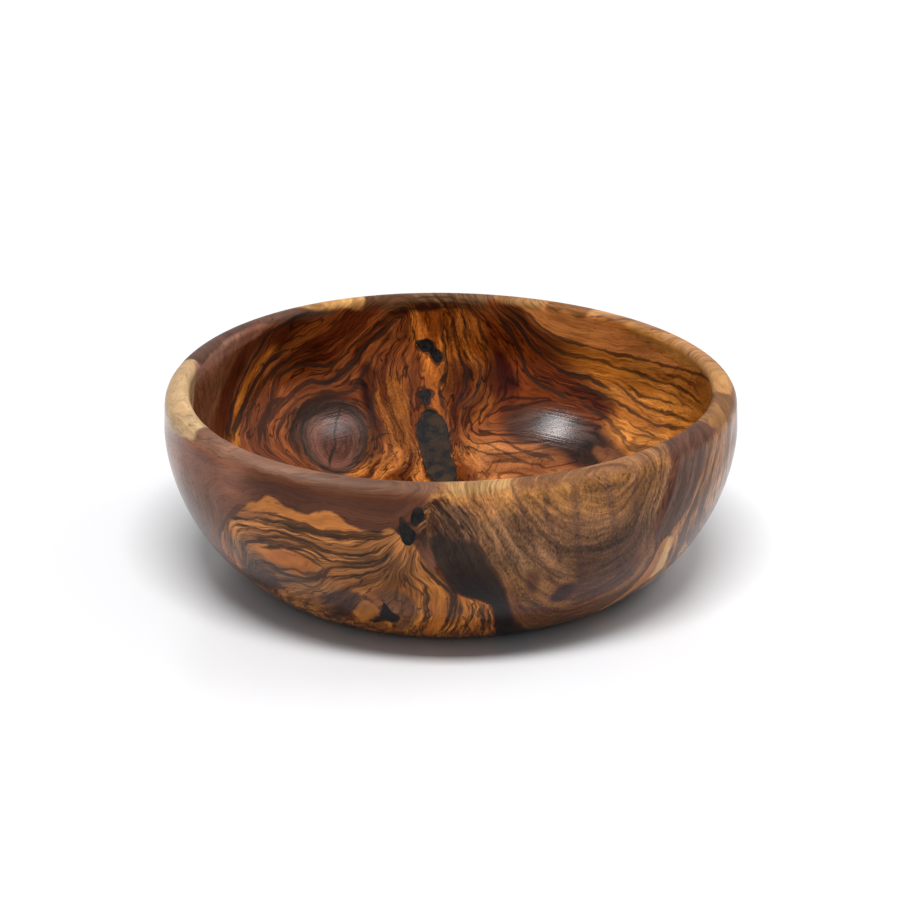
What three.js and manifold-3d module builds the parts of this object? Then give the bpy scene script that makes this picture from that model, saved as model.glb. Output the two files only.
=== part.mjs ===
// A round, hand-sized wooden bowl for a ball of yarn: one turned shell of olive wood whose six
// natural voids are stopped with dark filler, flush with the turned surface.
//
// Millimetres, +Z up. The origin is the centre of the flat foot that the bowl stands on, and
// -Y is the front. Angles are in degrees round +Z, from the front (-Y) towards +X.

import * as THREE from 'three';
import { mergeVertices } from 'three/addons/utils/BufferGeometryUtils.js';
import Module from 'manifold-3d';

// Driving dimensions of the turned shell.
const BOWL_RADIUS = 100;
const BOWL_HEIGHT = 67;
const WIDEST_HEIGHT = 52.9;
const FOOT_RADIUS = 62;
const FLOOR_THICKNESS = 9;
const WALL_AT_RIM = 8.8;
const RIM_RADIUS = 99.6;
const RIM_OUTER_ROUND = 6.1;
const RIM_INNER_ROUND = 2.7;

// The outside below the widest ring is a superellipse that fades into the foot.
const OUTER_DEPTH = 64.2;
const OUTER_DEPTH_POWER = 1.78;
const OUTER_RADIUS_POWER = 3.28;
const FOOT_JOIN_HEIGHT = 1.9;
const FOOT_CURVE_PULL = [2, 1.18];

// The inside is a superellipse too, from its own widest ring down to the floor.
const INNER_RADIUS = 91.2;
const INNER_WIDEST_HEIGHT = 50;
const INNER_DEPTH_POWER = 2;
const INNER_RADIUS_POWER = 2.7;

// Facets.
const TURNS = 72;
const OUTER_STEPS = 11;
const INNER_STEPS = 12;
const KNOT_STEPS = 24;

// Each filler plug is set 3.2 mm deep in a pocket that clears it by 0.3 mm all round.
const PLUG_DEPTH = 3.2;
const PLUG_CLEARANCE = 0.3;
const PLUG_PROUD = 8;

const wasm = await Module();
wasm.setup();

// ---------------------------------------------------------------- the turned shell

function outerRadiusAt(height) {
  const depth = (WIDEST_HEIGHT - height) / OUTER_DEPTH;
  return BOWL_RADIUS * (1 - depth ** OUTER_DEPTH_POWER) ** (1 / OUTER_RADIUS_POWER);
}

function innerRadiusAt(height) {
  const depth = (INNER_WIDEST_HEIGHT - height) / (INNER_WIDEST_HEIGHT - FLOOR_THICKNESS);
  return INNER_RADIUS * (1 - depth ** INNER_DEPTH_POWER) ** (1 / INNER_RADIUS_POWER);
}

function arc(centreX, centreY, radius, fromAngle, toAngle, steps) {
  const curve = new THREE.EllipseCurve(
    centreX, centreY, radius, radius, fromAngle, toAngle, toAngle < fromAngle,
  );
  return curve.getPoints(steps);
}

function footCurve() {
  const top = new THREE.Vector2(outerRadiusAt(FOOT_JOIN_HEIGHT), FOOT_JOIN_HEIGHT);
  const pull = new THREE.Vector2(top.x - FOOT_CURVE_PULL[0], top.y - FOOT_CURVE_PULL[1]);
  const edge = new THREE.Vector2(FOOT_RADIUS, 0);
  return new THREE.QuadraticBezierCurve(edge, pull, top).getPoints(3);
}

function outsideWall() {
  const points = [];
  for (let step = 1; step <= OUTER_STEPS; step += 1) {
    const share = step / OUTER_STEPS;
    const height = FOOT_JOIN_HEIGHT + (WIDEST_HEIGHT - FOOT_JOIN_HEIGHT) * share;
    points.push(new THREE.Vector2(outerRadiusAt(height), height));
  }
  return points;
}

function rim() {
  const outerCentre = [RIM_RADIUS - RIM_OUTER_ROUND, BOWL_HEIGHT - RIM_OUTER_ROUND];
  const innerEdge = RIM_RADIUS - WALL_AT_RIM;
  const innerCentre = [innerEdge + RIM_INNER_ROUND, BOWL_HEIGHT - RIM_INNER_ROUND];
  const quarter = Math.PI / 2;
  return [
    ...arc(...outerCentre, RIM_OUTER_ROUND, 0, quarter, 5),
    ...arc(...innerCentre, RIM_INNER_ROUND, quarter, Math.PI, 4).slice(1),
  ];
}

function insideWall() {
  const points = [];
  for (let step = 0; step < INNER_STEPS; step += 1) {
    const depth = Math.sin((step / INNER_STEPS) * (Math.PI / 2));
    const height = INNER_WIDEST_HEIGHT - (INNER_WIDEST_HEIGHT - FLOOR_THICKNESS) * depth;
    points.push(new THREE.Vector2(innerRadiusAt(height), height));
  }
  points.push(new THREE.Vector2(0, FLOOR_THICKNESS));
  return points;
}

function shellGeometry() {
  const profile = [
    new THREE.Vector2(0, 0),
    ...footCurve(),
    ...outsideWall(),
    ...rim(),
    ...insideWall(),
  ];
  return new THREE.LatheGeometry(profile, TURNS).rotateX(Math.PI / 2);
}

// ---------------------------------------------------------------- solids and booleans

function solidFrom(geometry) {
  geometry.deleteAttribute('normal');
  geometry.deleteAttribute('uv');
  const merged = mergeVertices(geometry, 1e-4);
  const corners = merged.index.array;
  const triangles = [];
  for (let first = 0; first < corners.length; first += 3) {
    const [a, b, c] = corners.subarray(first, first + 3);
    if (a !== b && b !== c && c !== a) triangles.push(a, b, c);
  }
  return new wasm.Manifold(new wasm.Mesh({
    numProp: 3,
    vertProperties: new Float32Array(merged.attributes.position.array),
    triVerts: new Uint32Array(triangles),
  }));
}

function geometryFrom(solid) {
  const mesh = solid.getMesh();
  const geometry = new THREE.BufferGeometry();
  geometry.setAttribute('position', new THREE.BufferAttribute(mesh.vertProperties, 3));
  geometry.setIndex(new THREE.BufferAttribute(mesh.triVerts, 1));
  geometry.computeVertexNormals();
  return geometry;
}

// ---------------------------------------------------------------- filled voids

// Each outline is in the plane of the wall: across (towards the viewer's right) and up.
// The wall point it is drawn about is given by its angle, height and side.
const VOIDS = [
  {
    name: 'inner_patch_fill',
    side: 'inside',
    angle: 185.5,
    height: 17.2,
    outline: [
      [-2, 17.6], [-5.6, 11.4], [-6.2, 3.5], [-5.4, -4], [-4.8, -11], [-2.6, -19.5], [1, -23.5],
      [5.4, -21.5], [6.6, -14.4], [5.4, -5], [5.7, 4], [5.3, 11], [2.2, 16.2],
    ],
  },
  {
    name: 'inner_upper_knot_fill',
    side: 'inside',
    angle: 185,
    height: 45.2,
    outline: [
      [-5.4, 3.4], [-3, 4.1], [-0.8, 4.3], [1, 3], [1.8, 0.9], [3.5, -0.3], [4.7, -2.2],
      [4.1, -4.4], [2.3, -4.6], [0.7, -3], [-0.4, -0.9], [-2.5, -0.5], [-4.1, 1],
    ],
  },
  {
    name: 'inner_middle_knot_fill',
    side: 'inside',
    angle: 186.8,
    height: 30.2,
    outline: [
      [0.4, 2.4], [1.9, 1.7], [2.3, -0.2], [1.3, -1.6], [0.4, -3.4], [-0.9, -3.7], [-1.5, -1.8],
      [-2.3, -0.3], [-1.8, 1.5],
    ],
  },
  {
    name: 'front_upper_knot_fill',
    side: 'outside',
    angle: -6.2,
    height: 57.6,
    outline: [
      [1.5, 2.7], [0.1, 2.4], [-1.6, 1], [-2, -0.9], [-1, -2.8], [0.6, -2.3], [1.9, -0.7],
      [2.3, 1.1],
    ],
  },
  {
    name: 'front_lower_knot_fill',
    side: 'outside',
    angle: -7.9,
    height: 51.6,
    outline: [
      [-2.3, 3.9], [-0.7, 3.3], [0.9, 2], [2.4, 0.5], [2.3, -1.6], [1.4, -3.4], [0.2, -4.2],
      [-1.2, -3.6], [-2.1, -1.6], [-2.7, 1.2],
    ],
  },
  {
    name: 'foot_knot_fill',
    side: 'outside',
    angle: -14,
    height: 16.5,
    outline: [
      [0.3, 7.5], [1.3, 3.8], [2.8, 0.8], [3.7, -1.9], [2.7, -4.3], [0.6, -4.7], [-1.2, -4.2],
      [-3.6, -6.6], [-5.7, -7.8], [-5.4, -5.6], [-3, -2.8], [-1.7, 0.6], [-0.7, 4],
    ],
  },
];

function wallRadius(side, height) {
  return side === 'outside' ? outerRadiusAt(height) : innerRadiusAt(height);
}

// Turns a flat drawing so that its plane lies on the wall, its +Y runs up the wall, and its +Z
// points out of the wood, away from the wall or into the hollow.
function wallMatrix({ side, angle, height }) {
  const span = 0.5;
  const below = Math.min(height, WIDEST_HEIGHT) - span;
  const slope = (wallRadius(side, below + span) - wallRadius(side, below)) / span;
  const turn = THREE.MathUtils.degToRad(angle);
  const radial = new THREE.Vector3(Math.sin(turn), -Math.cos(turn), 0);
  const up = radial.clone().multiplyScalar(slope).add(new THREE.Vector3(0, 0, 1)).normalize();
  const around = new THREE.Vector3(Math.cos(turn), Math.sin(turn), 0);
  const across = side === 'outside' ? around : around.negate();
  const out = new THREE.Vector3().crossVectors(across, up);
  const radius = side === 'outside' && height > WIDEST_HEIGHT ? BOWL_RADIUS : wallRadius(side, height);
  const place = radial.multiplyScalar(radius).setZ(height);
  return new THREE.Matrix4().makeBasis(across, up, out).setPosition(place);
}

function roundedOutline(corners) {
  const points = corners.map(([x, y]) => new THREE.Vector3(x, y, 0));
  const curve = new THREE.CatmullRomCurve3(points, true, 'centripetal');
  return curve.getSpacedPoints(KNOT_STEPS).slice(0, -1);
}

function grownOutline(points, growth) {
  return points.map((point, index) => {
    const before = points.at(index - 1);
    const after = points.at((index + 1) % points.length);
    const along = after.clone().sub(before).normalize();
    const sideways = new THREE.Vector3(along.y, -along.x, 0);
    const turnsLeft = THREE.ShapeUtils.area(points) > 0;
    return point.clone().addScaledVector(sideways, turnsLeft ? growth : -growth);
  });
}

function plugSolid(knot, growth) {
  const outline = grownOutline(roundedOutline(knot.outline), growth);
  const shape = new THREE.Shape(outline.map((point) => new THREE.Vector2(point.x, point.y)));
  const below = PLUG_DEPTH + growth;
  const geometry = new THREE.ExtrudeGeometry(shape, {
    depth: below + PLUG_PROUD,
    bevelEnabled: false,
  });
  geometry.translate(0, 0, -below);
  geometry.applyMatrix4(wallMatrix(knot));
  return solidFrom(geometry);
}

// ---------------------------------------------------------------- materials and assembly

const oliveWood = new THREE.MeshStandardMaterial({ color: 0x8a4f24, roughness: 0.38, metalness: 0 });
const knotFiller = new THREE.MeshStandardMaterial({ color: 0x1c1a18, roughness: 0.45, metalness: 0 });
oliveWood.name = 'olive_wood';
knotFiller.name = 'knot_filler';

function namedMesh(name, solid, material) {
  const mesh = new THREE.Mesh(geometryFrom(solid), material);
  mesh.name = name;
  return mesh;
}

const bowl = new THREE.Group();
const turnedShell = solidFrom(shellGeometry());
let pocketedShell = turnedShell;
for (const knot of VOIDS) {
  pocketedShell = pocketedShell.subtract(plugSolid(knot, PLUG_CLEARANCE));
  bowl.add(namedMesh(knot.name, turnedShell.intersect(plugSolid(knot, 0)), knotFiller));
}
bowl.add(namedMesh('bowl_body', pocketedShell, oliveWood));

export default bowl;
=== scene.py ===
import math

import bpy
import numpy as np
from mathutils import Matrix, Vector


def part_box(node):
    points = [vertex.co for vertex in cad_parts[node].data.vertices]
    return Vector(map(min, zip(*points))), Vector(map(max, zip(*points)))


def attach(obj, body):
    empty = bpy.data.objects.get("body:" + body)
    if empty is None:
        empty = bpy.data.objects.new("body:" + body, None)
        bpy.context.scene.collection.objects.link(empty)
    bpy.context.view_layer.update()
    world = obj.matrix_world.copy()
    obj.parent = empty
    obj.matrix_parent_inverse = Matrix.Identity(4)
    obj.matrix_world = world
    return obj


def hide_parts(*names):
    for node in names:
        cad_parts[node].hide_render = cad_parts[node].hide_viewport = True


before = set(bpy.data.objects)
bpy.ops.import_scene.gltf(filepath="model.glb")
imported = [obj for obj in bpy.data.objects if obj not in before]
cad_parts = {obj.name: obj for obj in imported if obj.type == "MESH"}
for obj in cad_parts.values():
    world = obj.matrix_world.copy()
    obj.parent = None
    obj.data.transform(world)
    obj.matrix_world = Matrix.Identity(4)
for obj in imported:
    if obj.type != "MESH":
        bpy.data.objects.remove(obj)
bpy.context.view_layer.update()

# A turned olive-wood bowl. Shapes are worked out in millimetres and scaled to metres at the end.
# A place on the wall is (angle, over): degrees round +Z from the front (-Y) towards +X, and
# millimetres along the section from the crest of the rim, negative outside and positive inside.

MM = 0.001

# ------------------------------------------------------------------ the turned section

BOWL_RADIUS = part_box("bowl_body")[1].x / MM
BOWL_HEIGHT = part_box("bowl_body")[1].z / MM
WIDEST_HEIGHT = 52.9
FOOT_RADIUS = 62.0
FLOOR_THICKNESS = 9.0
WALL_AT_RIM = 8.8
RIM_RADIUS = 99.6
RIM_OUTER_ROUND = 6.1
RIM_INNER_ROUND = 2.7
OUTER_DEPTH = 64.2
OUTER_DEPTH_POWER = 1.78
OUTER_RADIUS_POWER = 3.28
FOOT_JOIN_HEIGHT = 1.9
FOOT_CURVE_PULL = (2.0, 1.18)
INNER_RADIUS = 91.2
INNER_WIDEST_HEIGHT = 50.0
INNER_DEPTH_POWER = 2.0
INNER_RADIUS_POWER = 2.7

# The rim has moved a little as the wood dried: it stands high at the near right and far left.
RIM_WARP = 0.9
RIM_WARP_ANGLE = 45.0

# The mesh's steps round the bowl, and along the section in millimetres.
TURN_STEPS = 1200
PATH_STEP = 0.55
# A normal is taken from the section this far either side.
NORMAL_REACH = 0.6


def outer_radius_at(height):
    depth = (WIDEST_HEIGHT - height) / OUTER_DEPTH
    return BOWL_RADIUS * (1 - depth**OUTER_DEPTH_POWER) ** (1 / OUTER_RADIUS_POWER)


def inner_radius_at(height):
    depth = (INNER_WIDEST_HEIGHT - height) / (INNER_WIDEST_HEIGHT - FLOOR_THICKNESS)
    left = np.clip(1 - depth**INNER_DEPTH_POWER, 0, 1)
    return INNER_RADIUS * left ** (1 / INNER_RADIUS_POWER)


def arc(centre, radius, start, end, steps=24):
    angles = np.radians(np.linspace(start, end, steps))
    return np.column_stack([centre[0] + radius * np.cos(angles), centre[1] + radius * np.sin(angles)])


def turned_section():
    """(radius, height) points from the foot's centre, over the rim, to the floor's centre."""
    join = np.array([outer_radius_at(FOOT_JOIN_HEIGHT), FOOT_JOIN_HEIGHT])
    pull = join - np.array(FOOT_CURVE_PULL)
    edge = np.array([FOOT_RADIUS, 0.0])
    share = np.linspace(0, 1, 16)[:, None]
    foot = edge * (1 - share) ** 2 + 2 * pull * share * (1 - share) + join * share**2
    heights = np.linspace(FOOT_JOIN_HEIGHT, WIDEST_HEIGHT, 120)[1:]
    outside = np.column_stack([outer_radius_at(heights), heights])
    outer_centre = (RIM_RADIUS - RIM_OUTER_ROUND, BOWL_HEIGHT - RIM_OUTER_ROUND)
    inner_centre = (RIM_RADIUS - WALL_AT_RIM + RIM_INNER_ROUND, BOWL_HEIGHT - RIM_INNER_ROUND)
    rim_outer = arc(outer_centre, RIM_OUTER_ROUND, 0, 90)
    rim_inner = arc(inner_centre, RIM_INNER_ROUND, 90, 180)[1:]
    depths = np.sin(np.linspace(0, np.pi / 2, 160))
    heights = INNER_WIDEST_HEIGHT - (INNER_WIDEST_HEIGHT - FLOOR_THICKNESS) * depths
    inside = np.column_stack([inner_radius_at(heights), heights])
    return np.vstack([[[0.0, 0.0]], foot, outside, rim_outer, rim_inner, inside])


SECTION = turned_section()
SECTION_LENGTHS = np.concatenate([[0], np.cumsum(np.hypot(*np.diff(SECTION, axis=0).T))])
CREST = float(SECTION_LENGTHS[SECTION[:, 1].argmax()])
FOOT_CENTRE = -CREST
FLOOR_CENTRE = float(SECTION_LENGTHS[-1]) - CREST


def section_at(over):
    path = np.asarray(over) + CREST
    return (
        np.interp(path, SECTION_LENGTHS, SECTION[:, 0]),
        np.interp(path, SECTION_LENGTHS, SECTION[:, 1]),
    )


def wall_point(angle, over):
    radius, height = section_at(over)
    turn = np.radians(angle)
    warp = RIM_WARP * np.cos(2 * np.radians(angle - RIM_WARP_ANGLE)) * (height / BOWL_HEIGHT) ** 2
    return np.stack([radius * np.sin(turn), -radius * np.cos(turn), height + warp], axis=-1)


def wall_normal(angle, over):
    """The way out of the wood: away from the bowl outside, and into the hollow inside."""
    before = np.stack(section_at(over - NORMAL_REACH), axis=-1)
    after = np.stack(section_at(over + NORMAL_REACH), axis=-1)
    along = (after - before) / np.linalg.norm(after - before, axis=-1, keepdims=True)
    turn = np.radians(angle)
    out, up = along[..., 1], -along[..., 0]
    return np.stack([out * np.sin(turn), -out * np.cos(turn), up], axis=-1)


# ------------------------------------------------------------------ noise and smooth curves

# Any large odd numbers do here: they scatter the cells of the noise.
AXIS_FACTORS = (73856093, 19349663, 83492791)
SEED_FACTOR = 2654435
MIXING = ((15, 2246822519), (13, 3266489917))
# Each octave of the noise is moved away from the one before, and all of them away from the origin.
OCTAVE_SHIFT = 57.3
NOISE_SHIFT = 1000.0
# About how many millimetres a degree is on the wall.
WALL_DEGREE = 1.6


def lattice_values(cells, seed):
    """A value from -1 to 1 for each whole-number cell, the same on every run."""
    mixed = np.uint32(seed * SEED_FACTOR)
    for axis, factor in enumerate(AXIS_FACTORS):
        mixed = mixed ^ (cells[..., axis].astype(np.uint32) * np.uint32(factor))
    for shift, factor in MIXING:
        mixed = (mixed ^ (mixed >> np.uint32(shift))) * np.uint32(factor)
    return (mixed ^ (mixed >> np.uint32(16))).astype(np.float64) / 2**31 - 1


def noise(points, size, seed, octaves=2):
    """Smooth noise from -1 to 1 at points in millimetres, with features of the given size."""
    total, weight = 0.0, 1.0
    for octave in range(octaves):
        scaled = points / size * 2**octave + OCTAVE_SHIFT * octave + NOISE_SHIFT
        cells = np.floor(scaled).astype(np.int64)
        part = scaled - cells
        fade = part**3 * (part * (part * 6 - 15) + 10)
        value = 0.0
        for corner in np.ndindex(2, 2, 2):
            share = np.prod(np.where(corner, fade, 1 - fade), axis=-1)
            value = value + share * lattice_values(cells + np.array(corner), seed + octave)
        total = total + value * weight
        weight *= 0.5
    return total


def spans(corners, closed):
    """The four corners that shape each span of a curve: one before it, its ends, and one after it."""
    if closed:
        padded = np.vstack([corners[-1], corners, corners[0], corners[1]])
    else:
        padded = np.vstack([2 * corners[0] - corners[1], corners, 2 * corners[-1] - corners[-2]])
    return zip(padded, padded[1:], padded[2:], padded[3:])


def catmull_rom(a, b, c, d, steps):
    """Points on the span from b to c, without its end."""
    t = np.linspace(0, 1, steps)[:-1, None]
    square, cube = 2 * a - 5 * b + 4 * c - d, 3 * b - 3 * c + d - a
    return 0.5 * (2 * b + (c - a) * t + square * t**2 + cube * t**3)


def smooth_line(corners, closed=False, step=1.0):
    """A curve through (angle, over) corners, as points about a step apart in millimetres."""
    corners = np.array(corners, float)
    pieces = []
    for a, b, c, d in spans(corners, closed):
        length = np.hypot((c[0] - b[0]) * WALL_DEGREE, c[1] - b[1])
        pieces.append(catmull_rom(a, b, c, d, max(2, int(length / step) + 1)))
    if not closed:
        pieces.append(corners[-1:])
    return np.vstack(pieces)


def smooth_step(value, low, high):
    share = np.clip((value - low) / (high - low), 0, 1)
    return share * share * (3 - 2 * share)


# ------------------------------------------------------------------ the grid of the bowl's surface

ANGLES = np.arange(TURN_STEPS) * 360.0 / TURN_STEPS - 180.0
OVERS = np.linspace(FOOT_CENTRE, FLOOR_CENTRE, int((FLOOR_CENTRE - FOOT_CENTRE) / PATH_STEP))[1:-1]
GRID_ANGLE, GRID_OVER = np.meshgrid(ANGLES, OVERS)
GRID_POINTS = wall_point(GRID_ANGLE, GRID_OVER)
RADII = section_at(OVERS)[0]
LEAST_RADIUS = 12.0
MM_PER_DEGREE = np.maximum(RADII, LEAST_RADIUS)[:, None] * np.pi / 180

# Everything drawn on the wood is shaken a little, so that no edge or line is a clean curve.
SHAKE = (0.55, 7.0), (0.28, 2.6)
SHAKE_ROUND = sum(noise(GRID_POINTS, size, seed) * reach for seed, (reach, size) in enumerate(SHAKE, 11))
SHAKE_OVER = sum(noise(GRID_POINTS, size, seed) * reach for seed, (reach, size) in enumerate(SHAKE, 31))
SHAKEN_ANGLE = SHAKE_ROUND / MM_PER_DEGREE
LINE_WEIGHT = 1 + 0.45 * noise(GRID_POINTS, 9.0, 51)


def near_window(line, reach):
    """The part of the grid within reach of a line, and its shaken places as the line measures them."""
    low, high = line[:, 0].min(), line[:, 0].max()
    middle = (low + high) / 2
    turned = (ANGLES - middle + 180) % 360 - 180
    rows = np.flatnonzero((OVERS > line[:, 1].min() - reach) & (OVERS < line[:, 1].max() + reach))
    half = (high - low) / 2 + reach / MM_PER_DEGREE[rows].min()
    columns = np.flatnonzero(np.abs(turned) < half)
    part = np.ix_(rows, columns)
    angle = turned[columns][None, :] + middle + SHAKEN_ANGLE[part]
    over = OVERS[rows][:, None] + SHAKE_OVER[part]
    return part, angle, over, MM_PER_DEGREE[rows]


def distance_to(line, angle, over, scale):
    """How far each place is from a line in millimetres, how far along that is, and the line's length."""
    nearest = np.full(angle.shape, 1e9)
    along = np.zeros(angle.shape)
    run = 0.0
    for (a0, o0), (a1, o1) in zip(line, line[1:]):
        across, up = (a1 - a0) * scale, o1 - o0
        x, y = (angle - a0) * scale, over - o0
        length = across**2 + up**2 + 1e-9
        share = np.clip((x * across + y * up) / length, 0, 1)
        gap = np.hypot(x - share * across, y - share * up)
        closer = gap < nearest
        step = float(np.sqrt(np.mean(length)))
        along = np.where(closer, run + share * step, along)
        nearest = np.where(closer, gap, nearest)
        run += step
    return nearest, along, run


def depth_within(outline, angle, over, scale):
    """How deep each place is inside an outline in millimetres, negative outside it."""
    within = np.zeros(angle.shape, bool)
    for (a0, o0), (a1, o1) in zip(outline, np.roll(outline, -1, axis=0)):
        level_with = (o0 > over) != (o1 > over)
        crossing = a0 + (over - o0) * (a1 - a0) / (o1 - o0 + 1e-12)
        within ^= level_with & (angle < crossing)
    gap = distance_to(np.vstack([outline, outline[:1]]), angle, over, scale)[0]
    return np.where(within, gap, -gap)


# ------------------------------------------------------------------ the drawing of the figure

LIGHT_COLOUR = np.zeros(GRID_ANGLE.shape + (3,))
DARK_COLOUR = np.zeros(GRID_ANGLE.shape + (3,))
LINES = np.zeros(GRID_ANGLE.shape)
CURL = np.zeros(GRID_ANGLE.shape)
INK = np.full(GRID_ANGLE.shape, -3.0)
INK_TONE = np.zeros(GRID_ANGLE.shape)


def linear(colour):
    share = np.array(colour, float) / 255
    return np.where(share <= 0.04045, share / 12.92, ((share + 0.055) / 1.055) ** 2.4)


# Tones are given as the wood shows them in the studio. Its own colour is the tone over a level: how
# bright the light makes that part of the wall, less what the bands and lines of the figure take away.
FRONT = 0.55
HIGH_FRONT = 0.51
RIM = 2.35
INNER_TOP = 1.0
# What gloss adds to a tone, and the least share of a tone that is the wood's own.
VEIL = 0.008
OWN_SHARE = 0.35
# Dark lines are drawn this much wider than they are listed, and they taper over a length in mm.
LINE_GAIN = 1.5
LINE_TAPER = 7.0


def inside(*corners):
    """Corners given as (angle, over), on the rim or inside."""
    return list(corners)


def outside(*corners):
    """Corners given as (angle, drop below the rim), on the outside."""
    return [(angle, -drop) for angle, drop in corners]


def own_colour(tone, level):
    """The wood's own colour, linear, under the tone that it shows."""
    shown = linear(tone)
    return np.maximum(shown - VEIL, shown * OWN_SHARE) / level


def tint(part, cover, light, dark):
    for layer, colour in ((LIGHT_COLOUR, light), (DARK_COLOUR, dark)):
        layer[part] += (colour - layer[part]) * cover[..., None]


def patch(corners, light, dark, lines, curl, edge, level):
    """Lays wood inside a closed outline: its light and dark tones, lines and curl."""
    outline = smooth_line(corners, closed=True, step=1.5)
    part, angle, over, scale = near_window(outline, edge * 2 + 1)
    cover = smooth_step(depth_within(outline, angle, over, scale), -edge, edge)
    tint(part, cover, own_colour(light, level), own_colour(dark, level))
    LINES[part] += (lines - LINES[part]) * cover
    CURL[part] += (curl - CURL[part]) * cover


def lay_patches(side, patches):
    """Lays patches in turn, each as (light, dark, lines, curl, edge, level, corners)."""
    for *settings, corners in patches:
        patch(side(*corners), *settings)


def ribbon(corners, half_width, light, dark, level, strength):
    """Tints a soft-edged band of wood along a line."""
    line = smooth_line(corners)
    part, angle, over, scale = near_window(line, half_width + 1)
    gap = distance_to(line, angle, over, scale)[0]
    cover = smooth_step(half_width - gap, 0, half_width) * strength
    tint(part, cover, linear(light) / level, linear(dark) / level)


def lay_ink(part, depth, tone):
    """Keeps the deepest ink at each place, with its tone."""
    wins = depth > INK[part]
    INK_TONE[part] = np.where(wins, tone, INK_TONE[part])
    INK[part] = np.where(wins, depth, INK[part])


def stroke(corners, width, tone):
    """Draws a dark line of mineral stain."""
    width *= LINE_GAIN
    line = smooth_line(corners)
    part, angle, over, scale = near_window(line, width + 3)
    gap, along, run = distance_to(line, angle, over, scale)
    ends = np.clip(np.minimum(along, run - along) / LINE_TAPER, 0, 1) ** 0.7
    depth = width / 2 * ends * LINE_WEIGHT[part] - gap
    lay_ink(part, depth, tone * (0.55 + 0.45 * ends))


def draw_strokes(side, strokes):
    """Draws dark lines, each as (corners, width, tone)."""
    for corners, width, tone in strokes:
        stroke(side(*corners), width, tone)


# ------------------------------------------------------------------ the flow of the grain

# Each stroke of a flow is (value, corners), and then a width and a tone if it is a dark line too.
# The grain runs along lines of equal value.
FLOW_POINT_STEP = 4.0
FLOW_SMOOTHING = 1.5
FLOW_BATCH = 40
# The flow is worked out at every so many steps of the grid.
FLOW_SKIP = 5


def outside_strokes(strokes):
    """The strokes of a flow on the outside, given by their drop below the rim."""
    return [(value, outside(*corners), *ink) for value, corners, *ink in strokes]


def fit_flow(strokes):
    """A smooth field that takes each stroke's value along it, as (points, weights)."""
    points, values = [], []
    for value, corners, *_ in strokes:
        line = smooth_line(corners, step=FLOW_POINT_STEP)
        points.append(wall_point(line[:, 0], line[:, 1]))
        values.append(np.full(len(line), float(value)))
    points, values = np.vstack(points), np.concatenate(values)
    reach = np.linalg.norm(points[:, None] - points[None], axis=-1)
    sides = np.column_stack([np.ones(len(points)), points])
    smoothed = reach - FLOW_SMOOTHING * np.eye(len(points))
    system = np.block([[smoothed, sides], [sides.T, np.zeros((4, 4))]])
    weights = np.linalg.solve(system, np.concatenate([values, np.zeros(4)]))
    return points, weights


def flow_at(flow, places):
    points, weights = flow
    flat = places.reshape(-1, 3)
    total = weights[-4] + flat @ weights[-3:]
    for start in range(0, len(points), FLOW_BATCH):
        batch = slice(start, min(start + FLOW_BATCH, len(points)))
        total = total + np.linalg.norm(flat[:, None] - points[None, batch], axis=-1) @ weights[batch]
    return total.reshape(places.shape[:-1])


def shaken_flow(strokes):
    """The flow on a coarse grid, read back at the shaken place of each vertex."""
    flow = fit_flow(strokes)
    rows = np.arange(0, len(OVERS) + FLOW_SKIP, FLOW_SKIP)
    columns = np.arange(0, TURN_STEPS, FLOW_SKIP)
    overs = OVERS[0] + (OVERS[1] - OVERS[0]) * rows
    overs = np.clip(overs, FOOT_CENTRE, FLOOR_CENTRE)
    angles = ANGLES[columns]
    coarse = flow_at(flow, wall_point(*np.meshgrid(angles, overs)))
    row = np.arange(len(OVERS))[:, None] + SHAKE_OVER / (OVERS[1] - OVERS[0])
    column = np.arange(TURN_STEPS)[None, :] + SHAKEN_ANGLE * TURN_STEPS / 360
    row, column = row / FLOW_SKIP, column / FLOW_SKIP
    row = np.clip(row, 0, len(rows) - 1.001)
    low_row, low_column = np.floor(row).astype(int), np.floor(column).astype(int)
    up, right = row - low_row, column - low_column
    count = len(columns)
    a = coarse[low_row, low_column % count]
    b = coarse[low_row, (low_column + 1) % count]
    c = coarse[low_row + 1, low_column % count]
    d = coarse[low_row + 1, (low_column + 1) % count]
    return (a * (1 - right) + b * right) * (1 - up) + (c * (1 - right) + d * right) * up


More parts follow.
